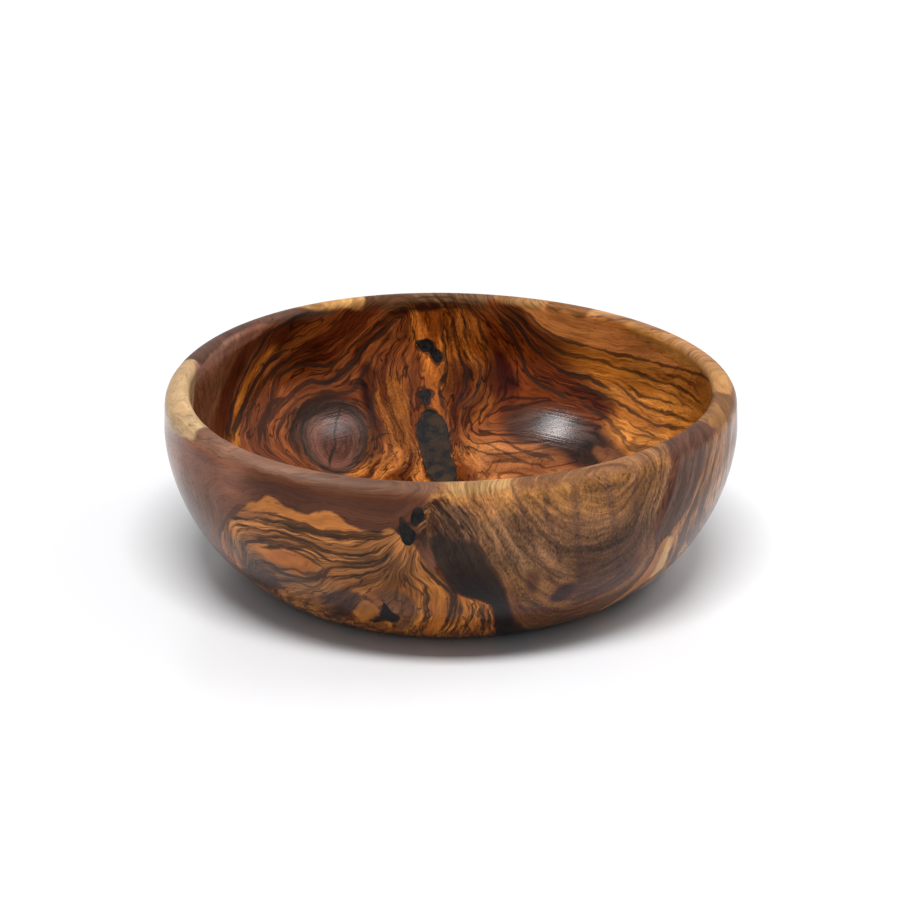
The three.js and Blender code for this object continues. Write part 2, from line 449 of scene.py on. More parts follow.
FRONT_LEFT_FLOW = outside_strokes([
    (-16, [(-112, 5), (-6, 5)]),
    (-8, [(-80, 20), (-56, 12), (-40, 8.5), (-28, 10), (-9, 14)]),
    (-2, [(-44, 20), (-38, 14), (-33, 13), (-28, 15), (-24, 13), (-19, 16), (-14, 18), (-10, 17)]),
    (0, [(-41, 21.5), (-34, 19.2), (-24, 20.8), (-16, 19.8), (-10, 18)], 0.9, 0.8),
    (4, [(-50, 29), (-46, 25.5), (-38, 23.8), (-26, 22.3), (-18, 23), (-11, 20.5)], 0.8, 0.8),
    (8, [(-48, 31), (-44, 27.5), (-33, 25.5), (-27, 26.5), (-21, 29), (-15, 27), (-10.5, 21)], 0.8, 0.85),
    (11, [(-43, 32), (-39, 30.2), (-31, 29.5), (-28, 28.5), (-25.5, 30), (-23, 32.5), (-17, 31.5),
          (-14, 30), (-12, 27.5)], 0.9, 0.8),
    (15, [(-45, 39), (-44, 35), (-41, 32.5), (-37, 31.2), (-29, 31.5), (-26, 34), (-26, 38), (-29, 40.5),
          (-39, 40.5)]),
    (19, [(-9.5, 22), (-13, 30), (-16, 33), (-22, 34.5), (-24, 36.5), (-27, 41), (-31, 43.5), (-35, 44),
          (-42, 43)], 1.0, 0.8),
    (23, [(-10, 26), (-12, 31), (-14.5, 34.5), (-20, 38.5), (-24.5, 40), (-29, 47), (-34, 47),
          (-44, 52)], 0.7, 0.75),
    (27, [(-14, 38), (-27, 50), (-40, 60), (-48, 68)]),
    (32, [(-13, 44), (-17, 48), (-20, 56), (-28, 72)]),
    (36, [(-9.5, 33), (-7.5, 40.5), (-7.5, 48), (-8, 56), (-12, 72)]),
    (39, [(-7.5, 25), (-7.5, 34), (-5.5, 38), (-4.8, 44), (-4.8, 58), (-7.3, 70), (-8, 78)], 0.7, 0.7),
    (45, [(-6.3, 25.5), (-6, 29), (-3.2, 36.5), (-0.2, 43), (0, 54), (-3, 72)], 1.1, 0.85),
    (49, [(-5, 28), (-3.8, 32), (1.5, 42), (2.2, 50), (1.4, 62), (-0.5, 75)]),
    (54, [(-4, 26), (-2, 32), (4.6, 45), (6.5, 57), (8.5, 75)]),
    (57, [(-4, 20), (-1, 30), (7, 46), (9.5, 56), (13, 78)]),
    (-3, [(-52, 30), (-60, 55), (-64, 70)]),
    (-9, [(-60, 25), (-72, 60), (-76, 75)]),
    (-15, [(-78, 20), (-84, 40), (-90, 60)]),
])

FRONT_RIGHT_FLOW = outside_strokes([
    (0, [(-4.5, 14), (-4.5, 24), (-1, 36), (5, 46), (9, 56), (11, 70), (12.5, 78)]),
    (7, [(0.5, 11), (3.5, 15), (6, 26), (9.5, 38), (15, 62), (23, 80)], 0.9, 0.45),
    (11, [(12, 42), (15, 50), (20, 58), (27, 62), (34, 58), (41, 50)]),
    (15, [(9, 24), (12, 33), (16, 42), (22, 50), (28, 52), (35, 47), (41, 38)], 1.2, 0.4),
    (20, [(8, 12), (12, 22), (17, 32), (23, 39), (29, 40), (35, 36), (40, 28)], 1.2, 0.4),
    (25, [(10, 6), (19, 24), (25, 29), (30, 29), (35, 25), (39, 17), (42, 9)], 1.0, 0.35),
    (30, [(14, 6), (18, 14), (23, 19), (28, 20), (33, 18), (40, 6)], 0.9, 0.35),
    (36, [(20, 3), (24, 9), (30, 11), (35, 6), (37, 2)]),
    (8, [(46, 6), (43, 14), (41.5, 30), (43.5, 38), (44, 50), (42, 66), (38, 78)]),
    (6, [(22, 74), (30, 70), (40, 68)]),
])

RIGHT_FLOW = outside_strokes([
    (0, [(48.5, 8), (46, 20), (44, 27), (43, 33), (45, 36), (45.5, 44), (45, 52), (42, 66)]),
    (5, [(54, 6), (52, 18), (49, 30), (48.5, 38), (49, 45), (48.5, 56), (47, 64)]),
    (9, [(60, 5.5), (58, 14), (52.5, 28), (51.5, 38), (52, 48), (56, 64)]),
    (13, [(61, 11), (56, 24), (54, 36), (56, 48), (60, 56), (66, 62), (75, 66), (85, 67)]),
    (20, [(65, 10), (60, 22), (58, 34), (61, 46), (66, 54), (76, 58), (88, 59)]),
    (26, [(70, 9), (66, 20), (64, 31), (67, 41), (73, 47), (82, 50), (94, 50)]),
    (32, [(75, 8), (72, 17), (71, 27), (75, 36), (82, 40), (94, 41)]),
    (38, [(81, 8), (79, 17), (81, 26), (94, 31)]),
    (43, [(86, 8), (88, 15), (94, 18)]),
    (-4, [(46, 2), (42, 14), (39, 26)]),
])

INSIDE_FLOW = [
    (-10, [(266, 6), (262, 17), (260, 30), (262, 45)]),
    (-6, [(262, 3), (254, 3), (246, 8), (250, 24), (256, 32)]),
    (-1, [(253, 36), (248, 31), (238, 18), (229, 4), (224, 1)]),
    (0, [(252, 37), (242, 27), (230, 10), (222, 5), (215, 3)], 1.1, 0.85),
    (4, [(250, 39), (238, 28.5), (229, 19), (221, 15), (214, 14), (208, 11), (202, 5)]),
    (8, [(246, 41), (235, 29.5), (226, 22), (218, 18), (211, 19), (204, 13), (197, 6)]),
    (12, [(243, 46), (238, 40), (233, 36), (229, 31), (226, 25), (221, 23), (216, 23), (211, 25), (206, 22),
          (198, 12), (194, 8)], 0.9, 0.75),
    (16, [(239, 48), (236, 40), (231, 37), (222, 32), (217, 30), (212, 31), (208, 29), (204, 25), (196, 14),
          (191, 9)], 1.5, 0.75),
    (20, [(236, 50), (231, 42), (220, 33.6), (209, 33.5), (205, 31), (199, 22.5), (195, 17.5)]),
    (24, [(234, 64), (232, 54), (229, 46), (223.5, 39.5), (217, 35.8), (210, 35.8), (205, 40), (203, 47),
          (203.5, 56), (207, 65), (213, 72)]),
    (28, [(229, 66), (229, 56), (226, 47.5), (221.5, 42.5), (216.5, 40.5), (211, 41), (207.5, 44),
          (206, 50), (207.5, 57), (211, 63.5), (217, 69)], 1.0, 0.6),
    (32, [(227, 64), (226.3, 56), (223.5, 49), (220, 45.5), (216.5, 44.6), (212.5, 45.6), (209.5, 47),
          (208.8, 51.5), (210.5, 57.5), (214, 62.5), (219, 66.5)]),
    (37, [(223, 62), (221.5, 55), (218, 50), (214, 50), (212.5, 53), (215, 58.5), (219.5, 63)]),
    (18, [(198, 20), (200, 32), (199, 54), (199, 64)]),
    (11, [(193, 22), (195, 34), (194, 58), (193, 68)]),
    (6, [(189, 8), (188, 20), (190, 34), (190, 60), (189, 72)]),
    (0, [(183, 5), (182, 20), (181, 28), (182, 34), (183, 40), (180, 52), (180, 62)], 0.9, 0.6),
    (-4, [(180, 7), (179.5, 18), (178, 25), (176, 31), (176, 38), (180, 50)], 0.9, 0.6),
    (-8, [(177, 7), (176.5, 17), (175, 24), (173, 29), (172.5, 35), (174, 41), (176.5, 47),
          (177, 58)], 0.8, 0.6),
    (-12, [(174, 7), (173, 15), (170, 27), (169, 36), (170, 46), (172, 56)]),
    (-18, [(170, 6), (167, 12), (163, 24), (161, 30), (157, 34), (147, 38), (134, 41.5), (128, 45),
           (122, 46.5), (117, 45), (113, 42.5)]),
    (-25, [(150, 31), (125, 35.5), (113, 33.5), (108, 30.5), (104, 29)], 0.9, 0.75),
    (-30, [(169, 5), (165, 10), (160, 20), (153, 27), (134, 29), (121, 30), (102, 25)]),
    (-38, [(167, 4), (163, 9), (160, 14), (152, 20), (141, 20.5), (135, 21), (120, 19.5), (112, 18),
           (99, 17)], 0.9, 0.75),
    (-43, [(165, 3), (161, 7), (158, 11), (154, 14), (149, 15.5), (138, 16), (117, 12), (104, 7.5),
           (92, 4)], 0.9, 0.75),
    (-50, [(158, 0), (150, 5), (140, 6), (115, 2), (104, -1)]),
    (-15, [(168, 52), (160, 52), (150, 49), (140, 48), (130, 52), (120, 55)]),
    (-10, [(172, 62), (164, 60), (155, 64), (150, 65), (145, 64.5), (138, 66), (128, 70)]),
    (5, [(188, 75), (186, 90), (190, 110), (200, 125)]),
    (-8, [(165, 72), (160, 90), (150, 110)]),
    (14, [(210, 78), (212, 92), (222, 112)]),
    (6, [(240, 62), (248, 90), (260, 112)]),
    (-24, [(115, 60), (108, 90), (95, 112)]),
    (5, [(-4, 10), (-5, 40), (-8, 80), (-20, 110)]),
    (13, [(-38, 10), (-40, 40), (-44, 80)]),
    (1, [(-78, 12), (-80, 50), (-82, 90)]),
    (-10, [(38, 10), (40, 40), (44, 80)]),
    (-28, [(78, 12), (80, 40), (82, 90)]),
]

ALL_STROKES = (FRONT_LEFT_FLOW, FRONT_RIGHT_FLOW, RIGHT_FLOW, INSIDE_FLOW)
FLOWS = [shaken_flow(strokes) for strokes in ALL_STROKES]

# The front flows go over the rim and a little way down inside, and meet the inside flow there.
# Past the sides the inside flow takes over on the outside too.
FADE_START = np.interp(np.abs(ANGLES), [0, 55, 84, 92], [22, 18, 1.5, 1.5])[None, :]
FADE_WIDTH = np.interp(np.abs(ANGLES), [0, 55, 84, 100], [26, 26, 14, 4])[None, :]
INSIDE_SHARE = np.maximum(
    smooth_step(np.abs(GRID_ANGLE), 92, 122),
    smooth_step(GRID_OVER, FADE_START, FADE_START + FADE_WIDTH),
)

# Sharp borders between the front flows.
RIGHT_EDGE = smooth_line(outside(
    (52, -20), (50, 0), (48.5, 8), (47.5, 13), (46, 20), (44, 27), (43, 33), (45, 36), (45.5, 44), (45, 52),
    (43.5, 60), (42, 66), (38, 80), (30, 150),
))
LEFT_EDGE = smooth_line(outside(
    (-3, -20), (-3.5, 4), (-4.5, 14), (-4.5, 24), (-3, 29), (-1, 36), (1, 42), (5, 46), (8, 50), (9, 56),
    (9.5, 62), (11, 70), (12.5, 78), (16, 90), (20, 150),
))


def right_of(edge):
    """0 left of an edge and 1 right of it: a sharp border outside that goes soft in the hollow."""
    order = np.argsort(edge[:, 1])
    border = np.interp(GRID_OVER + SHAKE_OVER, edge[order, 1], edge[order, 0])
    blur = 0.05 + 22 * smooth_step(GRID_OVER, 3, 16)
    return smooth_step(GRID_ANGLE + SHAKEN_ANGLE - border, -blur, blur)


RING = FLOWS[0] + (FLOWS[1] - FLOWS[0]) * right_of(LEFT_EDGE)
RING = RING + (FLOWS[2] - RING) * right_of(RIGHT_EDGE)
RING = RING * (1 - INSIDE_SHARE) + FLOWS[3] * INSIDE_SHARE

# The hidden back of the bowl carries on the wood of the inside.
BACK_LEVEL = 1.3
LIGHT_COLOUR[:] = linear((130, 68, 31)) / BACK_LEVEL
DARK_COLOUR[:] = linear((94, 46, 21)) / BACK_LEVEL
LINES[:] = 1.0

# ---- the inside

lay_patches(inside, [
    ((178, 112, 52), (128, 72, 30), 0.5, 0, 7, 1.02, [
        (146, -2), (140, 1), (128, 1), (106, 1), (92, 2), (88, 8), (92, 20), (98, 34), (106, 46), (116, 56),
        (128, 50), (146, 30), (151, 22), (152, 14), (150, 6)]),
    ((188, 120, 66), (140, 82, 44), 0.3, 0, 1.6, INNER_TOP, [
        (163, 3), (156, 1), (146, 2), (120, 9), (112, 9), (116, 12), (136, 16), (146, 16.5), (154, 14.5),
        (159, 11)]),
    ((186, 128, 66), (150, 95, 45), 0.3, 0, 1.5, 1.25, [
        (134, 1.5), (122, 1.5), (96, 1), (90, 2), (96, 4), (116, 7.5), (126, 7), (133, 5)]),
    ((116, 56, 28), (62, 27, 14), 0.9, 0, 5, 1.6, [
        (176, 22), (171, 36), (168, 50), (158, 54), (146, 52), (136, 46), (134, 38), (140, 31), (150, 26),
        (158, 20), (163, 13), (168, 9), (173, 10)]),
    ((98, 60, 44), (58, 35, 27), 0.8, 0, 3.5, 2.7, [
        (163, 46), (163, 56), (155, 62), (143, 62), (134, 64), (122, 64), (116, 58), (120, 52), (140, 44),
        (152, 42)]),
    ((150, 92, 58), (122, 70, 42), 0.3, 0, 0.8, 2.7, [
        (133, 53), (128, 51.5), (122, 51), (116, 51), (118, 56), (124, 59), (130, 57.5)]),
    ((196, 118, 58), (112, 56, 28), 1.0, 0.9, 5, 2.4, [
        (200, 62), (188, 60), (176, 60), (165, 62), (150, 68), (130, 74), (120, 100), (150, 118),
        (200, 118), (236, 100), (236, 72), (222, 62), (212, 66)]),
    ((200, 126, 74), (126, 70, 42), 0.8, 0.7, 4, 1.9, [
        (168, 61), (158, 62), (147, 61), (136, 65), (131, 74), (142, 90), (168, 88), (172, 72)]),
    # The gold between the filled knots and the curly lines, and the streak left of the long patch.
    ((168, 98, 44), (112, 58, 27), 1.0, 0.8, 2.5, 1.0, [
        (190, 8), (184, 5), (176, 8), (172, 16), (169, 38), (172, 50), (176, 56), (182, 50), (185, 36),
        (188, 22)]),
    ((138, 74, 32), (84, 38, 17), 1.0, 0.5, 5, 2.2, [
        (183, 28), (178, 27), (172, 28), (168.5, 32), (168.5, 40), (170, 50), (174, 57), (179, 58),
        (182, 50), (183.5, 40)]),
    ((166, 98, 46), (98, 46, 20), 0.7, 0.9, 1.6, 2.7, [
        (199.5, 34), (196, 32), (192, 34), (191, 44), (191, 54), (193, 62), (199, 64), (201, 56),
        (200.5, 44)]),
    ((92, 46, 26), (50, 23, 15), 0.8, 0, 1.6, 1.8, [
        (202, 26), (198.5, 30), (199.5, 36), (201, 44), (201.5, 54), (204, 58), (205.5, 50), (203.5, 42),
        (203.5, 33)]),
    # The far left: dark heartwood, then a gold stripe, and the dark wood under the rim.
    ((109, 70, 50), (75, 43, 30), 0.35, 0, 1.5, 1.05, [
        (266, 1.5), (258, 1.5), (238, 0), (229, 1), (226.5, 6), (230, 11), (235, 17), (245, 30), (256, 40),
        (264, 52), (285, 52), (288, 20), (280, 8)]),
    ((76, 42, 28), (52, 28, 20), 0.3, 0, 1.8, 1.05, [
        (234, 14), (229, 9), (226, 6), (228, 3), (233, 5), (240, 12), (254, 30), (256, 37), (250, 35),
        (244, 29)]),
    ((166, 100, 44), (120, 66, 28), 0.5, 0, 0.8, 1.2, [
        (256, 44), (250, 38), (245, 33), (240, 26), (230, 14.5), (222, 9), (222, 11), (226, 14), (235, 23),
        (245, 37), (250, 43), (255, 50)]),
    ((118, 64, 32), (66, 32, 16), 0.8, 0, 4, 1.2, [
        (224, 4), (214, 3), (204, 5), (198, 10), (200, 16), (206, 20), (214, 20), (222, 16), (227, 12)]),
    ((128, 68, 36), (74, 36, 22), 0.8, 0, 3, 1.0, [
        (212, 10), (206, 7), (200, 8), (198, 14), (202, 21), (208, 24), (213, 18)]),
    ((104, 62, 34), (56, 30, 18), 0.9, 0, 1, INNER_TOP, [
        (196, 4), (190, 3), (178, 3), (171, 4), (171, 6.5), (178, 7), (186, 7.5), (194, 9)]),
    ((100, 52, 27), (58, 30, 16), 0.9, 0, 4, 1.25, [
        (226, 22), (220, 18), (213, 18), (208, 22), (209, 28), (216, 31), (224, 29)]),
    # The round knot.
    ((112, 64, 36), (54, 28, 17), 0.9, 0, 2.5, 2.3, [
        (232, 52), (229, 42), (223, 37.5), (215, 35.5), (208, 38), (204, 44), (203, 54), (205, 64),
        (214, 70), (226, 68), (231, 60)]),
    ((108, 75, 61), (58, 41, 36), 0.7, 0, 1.0, 2.6, [
        (230, 58), (226, 44.5), (216.5, 36.8), (207.6, 39.5), (205.2, 45), (205.5, 52), (208, 59),
        (213, 66), (220, 71), (228, 72), (231, 66)]),
    ((130, 84, 68), (94, 56, 45), 0.5, 0.4, 0.8, 2.5, [
        (226.5, 58), (224.5, 50.5), (221, 46), (217, 44.3), (213.2, 45.5), (209.6, 45), (208.4, 49.5),
        (211.5, 59), (217, 66), (223, 68.5), (227.5, 67)]),
])

# ---- the outside, front left

lay_patches(outside, [
    ((90, 60, 48), (66, 43, 35), 0.16, 0, 0.8, HIGH_FRONT, [
        (-130, -6), (-60, -7), (-3, -6), (-2.5, 8), (-3.5, 16), (-3, 30), (-4, 60), (0, 80), (-60, 82),
        (-112, 80), (-135, 60), (-140, 20)]),
    ((62, 41, 33), (48, 32, 27), 0.16, 0, 6, HIGH_FRONT, [
        (-36, -5), (-20, -6), (-3.5, -6), (-4, 14), (-5, 26), (-20, 24), (-34, 20), (-42, 12), (-42, 2)]),
    ((112, 84, 72), (88, 64, 54), 0.2, 0, 6, HIGH_FRONT, [
        (-62, -2), (-66, 10), (-66, 30), (-72, 60), (-110, 60), (-130, 30), (-120, -4), (-80, -5)]),
    ((108, 72, 50), (72, 47, 35), 0.8, 0, 3, FRONT, [
        (-60, 60), (-66, 60), (-80, 64), (-100, 66), (-110, 90), (-60, 90), (-46, 80), (-48, 66)]),
    ((90, 60, 44), (64, 42, 34), 0.5, 0, 4, FRONT, [
        (-66, 24), (-60, 20), (-54, 22), (-52, 30), (-54, 40), (-60, 52), (-68, 60), (-76, 58), (-76, 44),
        (-72, 32)]),
    ((152, 98, 55), (110, 71, 44), 1.0, 0, 0.5, FRONT, [
        (-56, 47), (-52, 36), (-48, 28), (-41, 18), (-38, 15.5), (-36, 13), (-30, 16), (-27, 16.2),
        (-24, 14.5), (-21.5, 15), (-19.5, 17.5), (-14, 19.5), (-11, 17.5), (-7, 23), (-6, 27), (-1, 38),
        (0.5, 43), (6, 47.5), (8, 51), (8.8, 57), (11.5, 78), (10, 90), (-20, 92), (-40, 90), (-48, 76),
        (-52, 64), (-52, 55)]),
    ((142, 91, 53), (110, 71, 45), 0.9, 0, 1, FRONT, [
        (-45, 39), (-44, 34), (-40, 31), (-30, 30), (-24, 37), (-30, 44), (-36, 46), (-42, 44)]),
    ((130, 86, 53), (88, 59, 40), 1.0, 0, 3, FRONT, [
        (-27, 30), (-22, 32), (-17, 30), (-12, 26), (-9.5, 28), (-9, 36), (-12, 42), (-20, 44), (-27, 40)]),
    ((118, 84, 60), (78, 56, 44), 1.0, 0, 3, FRONT, [
        (-50, 36), (-45, 34), (-41, 39), (-36, 43), (-32, 45), (-34, 52), (-44, 56), (-52, 48)]),
    ((140, 86, 50), (116, 70, 42), 0.25, 0, 0.7, FRONT, [
        (-40, 37), (-35, 32), (-31, 32), (-27, 36.5), (-31, 40.5), (-38, 39.5)]),
    ((128, 87, 55), (86, 60, 42), 1.0, 0, 1.5, FRONT, [
        (-42, 44), (-36, 46), (-26, 42), (-22, 44), (-19, 48), (-22, 54), (-26, 62), (-28, 70), (-30, 90),
        (-44, 90), (-48, 72), (-46, 56), (-44, 50)]),
    ((132, 83, 45), (106, 66, 37), 0.1, 0, 0.35, FRONT, [
        (-42, 19), (-38, 15.5), (-36, 13.2), (-30, 16), (-27, 16.4), (-24, 14.7), (-21.5, 15.2),
        (-19, 17.8), (-17, 19), (-20, 19.8), (-28, 20), (-34, 18), (-40, 20)]),
    ((94, 68, 50), (60, 44, 35), 1.0, 0, 1, FRONT, [
        (-49, 50), (-46, 44), (-43, 42.5), (-40, 45), (-38.5, 48), (-40, 54), (-48, 61), (-52, 60),
        (-55, 63), (-62, 66), (-60, 58)]),
    ((88, 63, 47), (60, 43, 34), 0.9, 0, 1.8, FRONT, [
        (-27, 50), (-24, 47), (-20, 46), (-17, 47), (-16, 49), (-18.5, 53), (-22, 63), (-26, 67), (-29, 70),
        (-30, 60)]),
    ((138, 92, 54), (110, 72, 44), 0.3, 0, 0.5, FRONT, [
        (-18, 49), (-15.6, 53), (-16, 57), (-20.5, 64), (-22, 62), (-21.5, 58)]),
    ((112, 80, 58), (84, 60, 46), 0.7, 0, 1, FRONT, [
        (-15, 44), (-11, 42), (-8, 45), (-6.8, 52), (-7.5, 60), (-9.5, 66), (-12, 68), (-14, 62),
        (-14, 52)]),
    ((152, 98, 52), (124, 74, 42), 0.4, 0, 0.6, FRONT, [
        (-5, 41), (-3, 39), (-1.5, 42), (-1, 58), (-6, 78), (-6.5, 70), (-4.5, 60), (-4, 50)]),
])

# ---- the outside, front middle and right

lay_patches(outside, [
    ((47, 38, 33), (35, 28, 25), 0.35, 0, 0.8, FRONT, [
        (-2.6, 17.6), (-4.2, 20), (-3, 29), (1, 42), (8, 50), (9.5, 62), (12.5, 78), (14, 95), (30, 95),
        (23, 80), (17, 68), (13.5, 56), (9.5, 38), (6, 26), (3.5, 15), (0.5, 11), (-2, 11)]),
    ((98, 70, 49), (70, 48, 36), 0.3, 1.1, 0.9, FRONT, [
        (3.5, 15), (6, 26), (9.5, 38), (13.5, 56), (17, 68), (23, 80), (30, 95), (44, 95), (39, 80),
        (42, 66), (45, 42), (44, 36), (42, 30), (43, 22), (47.5, 6), (50, 0), (40, -4), (10, -4), (-3, -3),
        (-2, 4), (-2, 9)]),
    ((124, 86, 52), (96, 66, 42), 0.3, 0.9, 2.5, FRONT * 1.15, [
        (-3.5, 3), (-3, 10), (3.5, 13), (8, 12), (30, 17), (38, 15), (44, 10), (47, 5), (46, -4), (20, -5),
        (0, -4)]),
    ((106, 77, 55), (78, 55, 41), 0.3, 1.1, 3, FRONT, [
        (10, 20), (15, 24), (21, 29), (25, 36), (24, 44), (20, 46), (16, 40), (12, 32)]),
    ((86, 61, 47), (62, 44, 36), 0.4, 0.9, 4, FRONT, [
        (25, 33), (32, 30), (40, 24), (43, 30), (42, 40), (38, 52), (30, 60), (26, 48)]),
    ((122, 84, 53), (96, 65, 42), 0.35, 0.9, 2.5, FRONT * 1.7, [
        (26, 3), (34, 1), (42, 3), (45, 10), (40, 17), (32, 18), (27, 12)]),
    ((124, 84, 52), (86, 58, 40), 0.5, 0.9, 1.8, FRONT, [
        (2.5, 5), (6.5, 4.5), (8.5, 8), (7.5, 12), (5, 14)]),
    ((98, 67, 43), (50, 34, 26), 0.9, 0.8, 0.6, FRONT, [
        (-5, 9), (-1.5, 6), (1, 12), (-0.4, 15.6), (-2.8, 17.8), (-5, 20.5), (-6, 15)]),
    ((88, 63, 47), (48, 36, 30), 0.9, 0.9, 1.6, FRONT, [
        (-2.4, 9.5), (2.6, 9.2), (5.6, 18), (3, 21), (-1, 19), (-2.6, 14)]),
    ((60, 42, 36), (44, 32, 29), 0.3, 0, 1.5, FRONT, [
        (22, 45), (25.5, 44), (26, 50), (24, 53), (21.5, 51)]),
    ((82, 57, 45), (60, 43, 36), 0.3, 0, 1.2, FRONT, [
        (14.5, 36), (16.5, 35), (17.5, 41), (16.5, 46), (15, 43)]),
    ((96, 69, 50), (66, 46, 36), 0.4, 0.9, 2.5, FRONT, [
        (30, 58), (31, 66), (24, 70), (17, 66), (15, 58), (18, 55), (24, 60)]),
])

# Dark ripples in the curly wood.
for corners, half_width in (
    (((24.5, 2), (23.5, 12), (24, 21), (25, 31), (27, 41), (26, 50)), 2.6),
    (((30.2, 3), (30.6, 10), (31.4, 18), (33.5, 33), (36.5, 44)), 2.3),
    (((12, 5), (13.4, 13), (14.4, 20), (17.5, 32), (22, 44)), 2.2),
    (((37.5, 4), (36.5, 14), (38, 24), (40, 34)), 2.0),
    (((18.5, 4), (18, 14), (19.5, 24), (21.5, 32)), 1.6),
    (((14, 52), (19, 56), (26, 58), (33, 54), (39, 46)), 2.4),
):
    ribbon(outside(*corners), half_width, (68, 44, 35), (48, 32, 27), level=FRONT, strength=0.62)

lay_patches(outside, [
    ((78, 57, 48), (54, 39, 34), 0.45, 0, 0.5, FRONT, [
        (48.7, 2), (61, 2), (60, 6), (58, 14), (54.5, 22), (52.5, 28), (46.5, 35), (45, 36), (43, 33),
        (46, 20), (48.5, 8)]),
    ((140, 98, 66), (72, 49, 38), 0.9, 0, 0.6, FRONT, [
        (60, 2), (70, 3), (94, 3), (108, 3), (114, 14), (105, 24), (113, 36), (102, 48), (108, 62),
        (97, 76), (98, 90), (60, 90), (42, 90), (43, 66), (45, 58), (46, 46), (47, 36), (52.5, 28),
        (54.5, 22), (58, 14)]),
    ((112, 76, 48), (68, 46, 33), 0.8, 0, 2, FRONT, [
        (60, 4), (66, 4), (70, 8), (72, 16), (66, 22), (60, 28), (56, 30), (55, 24), (58, 15)]),
    ((142, 95, 58), (118, 77, 46), 0.3, 0, 0.4, FRONT, [
        (46.5, 36), (50.3, 38), (52, 48), (54, 54), (50, 57), (44, 70), (40, 90), (37, 90), (41, 70),
        (45, 52)]),
    ((160, 128, 88), (144, 110, 74), 0.2, 0, 0.7, FRONT, [
        (48.2, 37), (50, 38), (52.2, 50), (53, 55), (50.5, 57), (48.6, 44)]),
])

# Painted shade: low in front the table's reflection adds a little grey, so the wood's colour there is painted
# that much darker.
TABLE_GREY = 0.017
LEAST_LEFT = 0.4
LOW_DOWN = smooth_step(-GRID_OVER, 26, 50)
IN_FRONT = smooth_step(-np.abs(GRID_ANGLE), -100, -75)
LOW_FRONT_PAINTED_SHADE = TABLE_GREY / FRONT * LOW_DOWN * IN_FRONT
# Painted shade: both tones of the wood are darkened low in front.
for layer in (LIGHT_COLOUR, DARK_COLOUR):
    layer[:] = np.maximum(layer - LOW_FRONT_PAINTED_SHADE[..., None], layer * LEAST_LEFT)

# ---- the rim, from -8 outside to 7 inside, and what hangs down from it at the sides and the back

lay_patches(inside, [
    ((232, 196, 148), (212, 166, 114), 0.22, 0, 0.6, RIM, [
        (-60, -4.5), (-64, -7.5), (-78, -13), (-95, -21), (-103, -22), (-110, -17), (-110, -8), (-105, -3),
        (-103, 0), (-100, 2), (-97, 6), (-94, 18), (-88, 24), (-80, 24), (-72, 16), (-66, 6), (-61, 2)]),
    ((110, 74, 60), (80, 54, 45), 0.5, 0, 1.2, RIM * 0.75, [
        (46.5, -7), (49, -7), (66, -6), (66, 6), (60, 8), (50, 8)]),
    ((168, 118, 70), (130, 84, 48), 0.5, 0.2, 1, RIM, [
        (65, -6), (85, -6), (86, 3), (84, 7), (74, 8), (66, 7)]),
    ((224, 164, 98), (188, 130, 74), 0.3, 0, 1, RIM, [
        (83, -4), (105, -6), (106, 1), (104, 4), (94, 5), (86, 5)]),
])

# The patches of the back rim, which fade down the outside into the darker wood under them.
light_under, dark_under = LIGHT_COLOUR.copy(), DARK_COLOUR.copy()
lay_patches(inside, [
    ((224, 162, 104), (166, 113, 68), 0.6, 0, 1, RIM, [
        (101, -8), (108, -15), (120, -20), (134, -17), (147, -23), (147, 1), (140, 2.2), (120, 2.5),
        (104, 3)]),
    ((160, 104, 54), (112, 68, 38), 0.6, 0, 1.2, RIM, [
        (146, -23), (152, -26), (158, -22), (157, 2.5), (152, 3), (146, 2)]),
    ((196, 142, 86), (150, 96, 54), 0.4, 0, 1.0, RIM, [
        (157, -22), (164, -25), (171, -19), (171, -2), (168, 3), (163, 4), (157, 3)]),
    ((150, 106, 72), (98, 66, 46), 0.7, 0, 1.0, RIM, [
        (169, -19), (177, -15), (185, -14), (191, -17), (192, 3), (186, 4.5), (178, 4.5), (171, 3)]),
    ((140, 96, 64), (96, 62, 42), 0.6, 0, 1.2, RIM, [
        (190, -17), (196, -21), (202, -24), (202, 2), (198, 5), (191, 5)]),
    ((232, 176, 108), (180, 120, 68), 0.4, 0, 1.0, RIM, [
        (200, -24), (208, -26), (214, -21), (219, -12), (217, 0), (213, 3.2), (206, 4), (201, 4)]),
])
BACK_ANGLE = GRID_ANGLE % 360
AT_BACK = smooth_step(BACK_ANGLE, 98, 106) * smooth_step(-BACK_ANGLE, -222, -214)
FADED = smooth_step(-GRID_OVER, 5, 20) * AT_BACK
for layer, under in ((LIGHT_COLOUR, light_under), (DARK_COLOUR, dark_under)):
    layer[:] += (under - layer) * FADED[..., None]

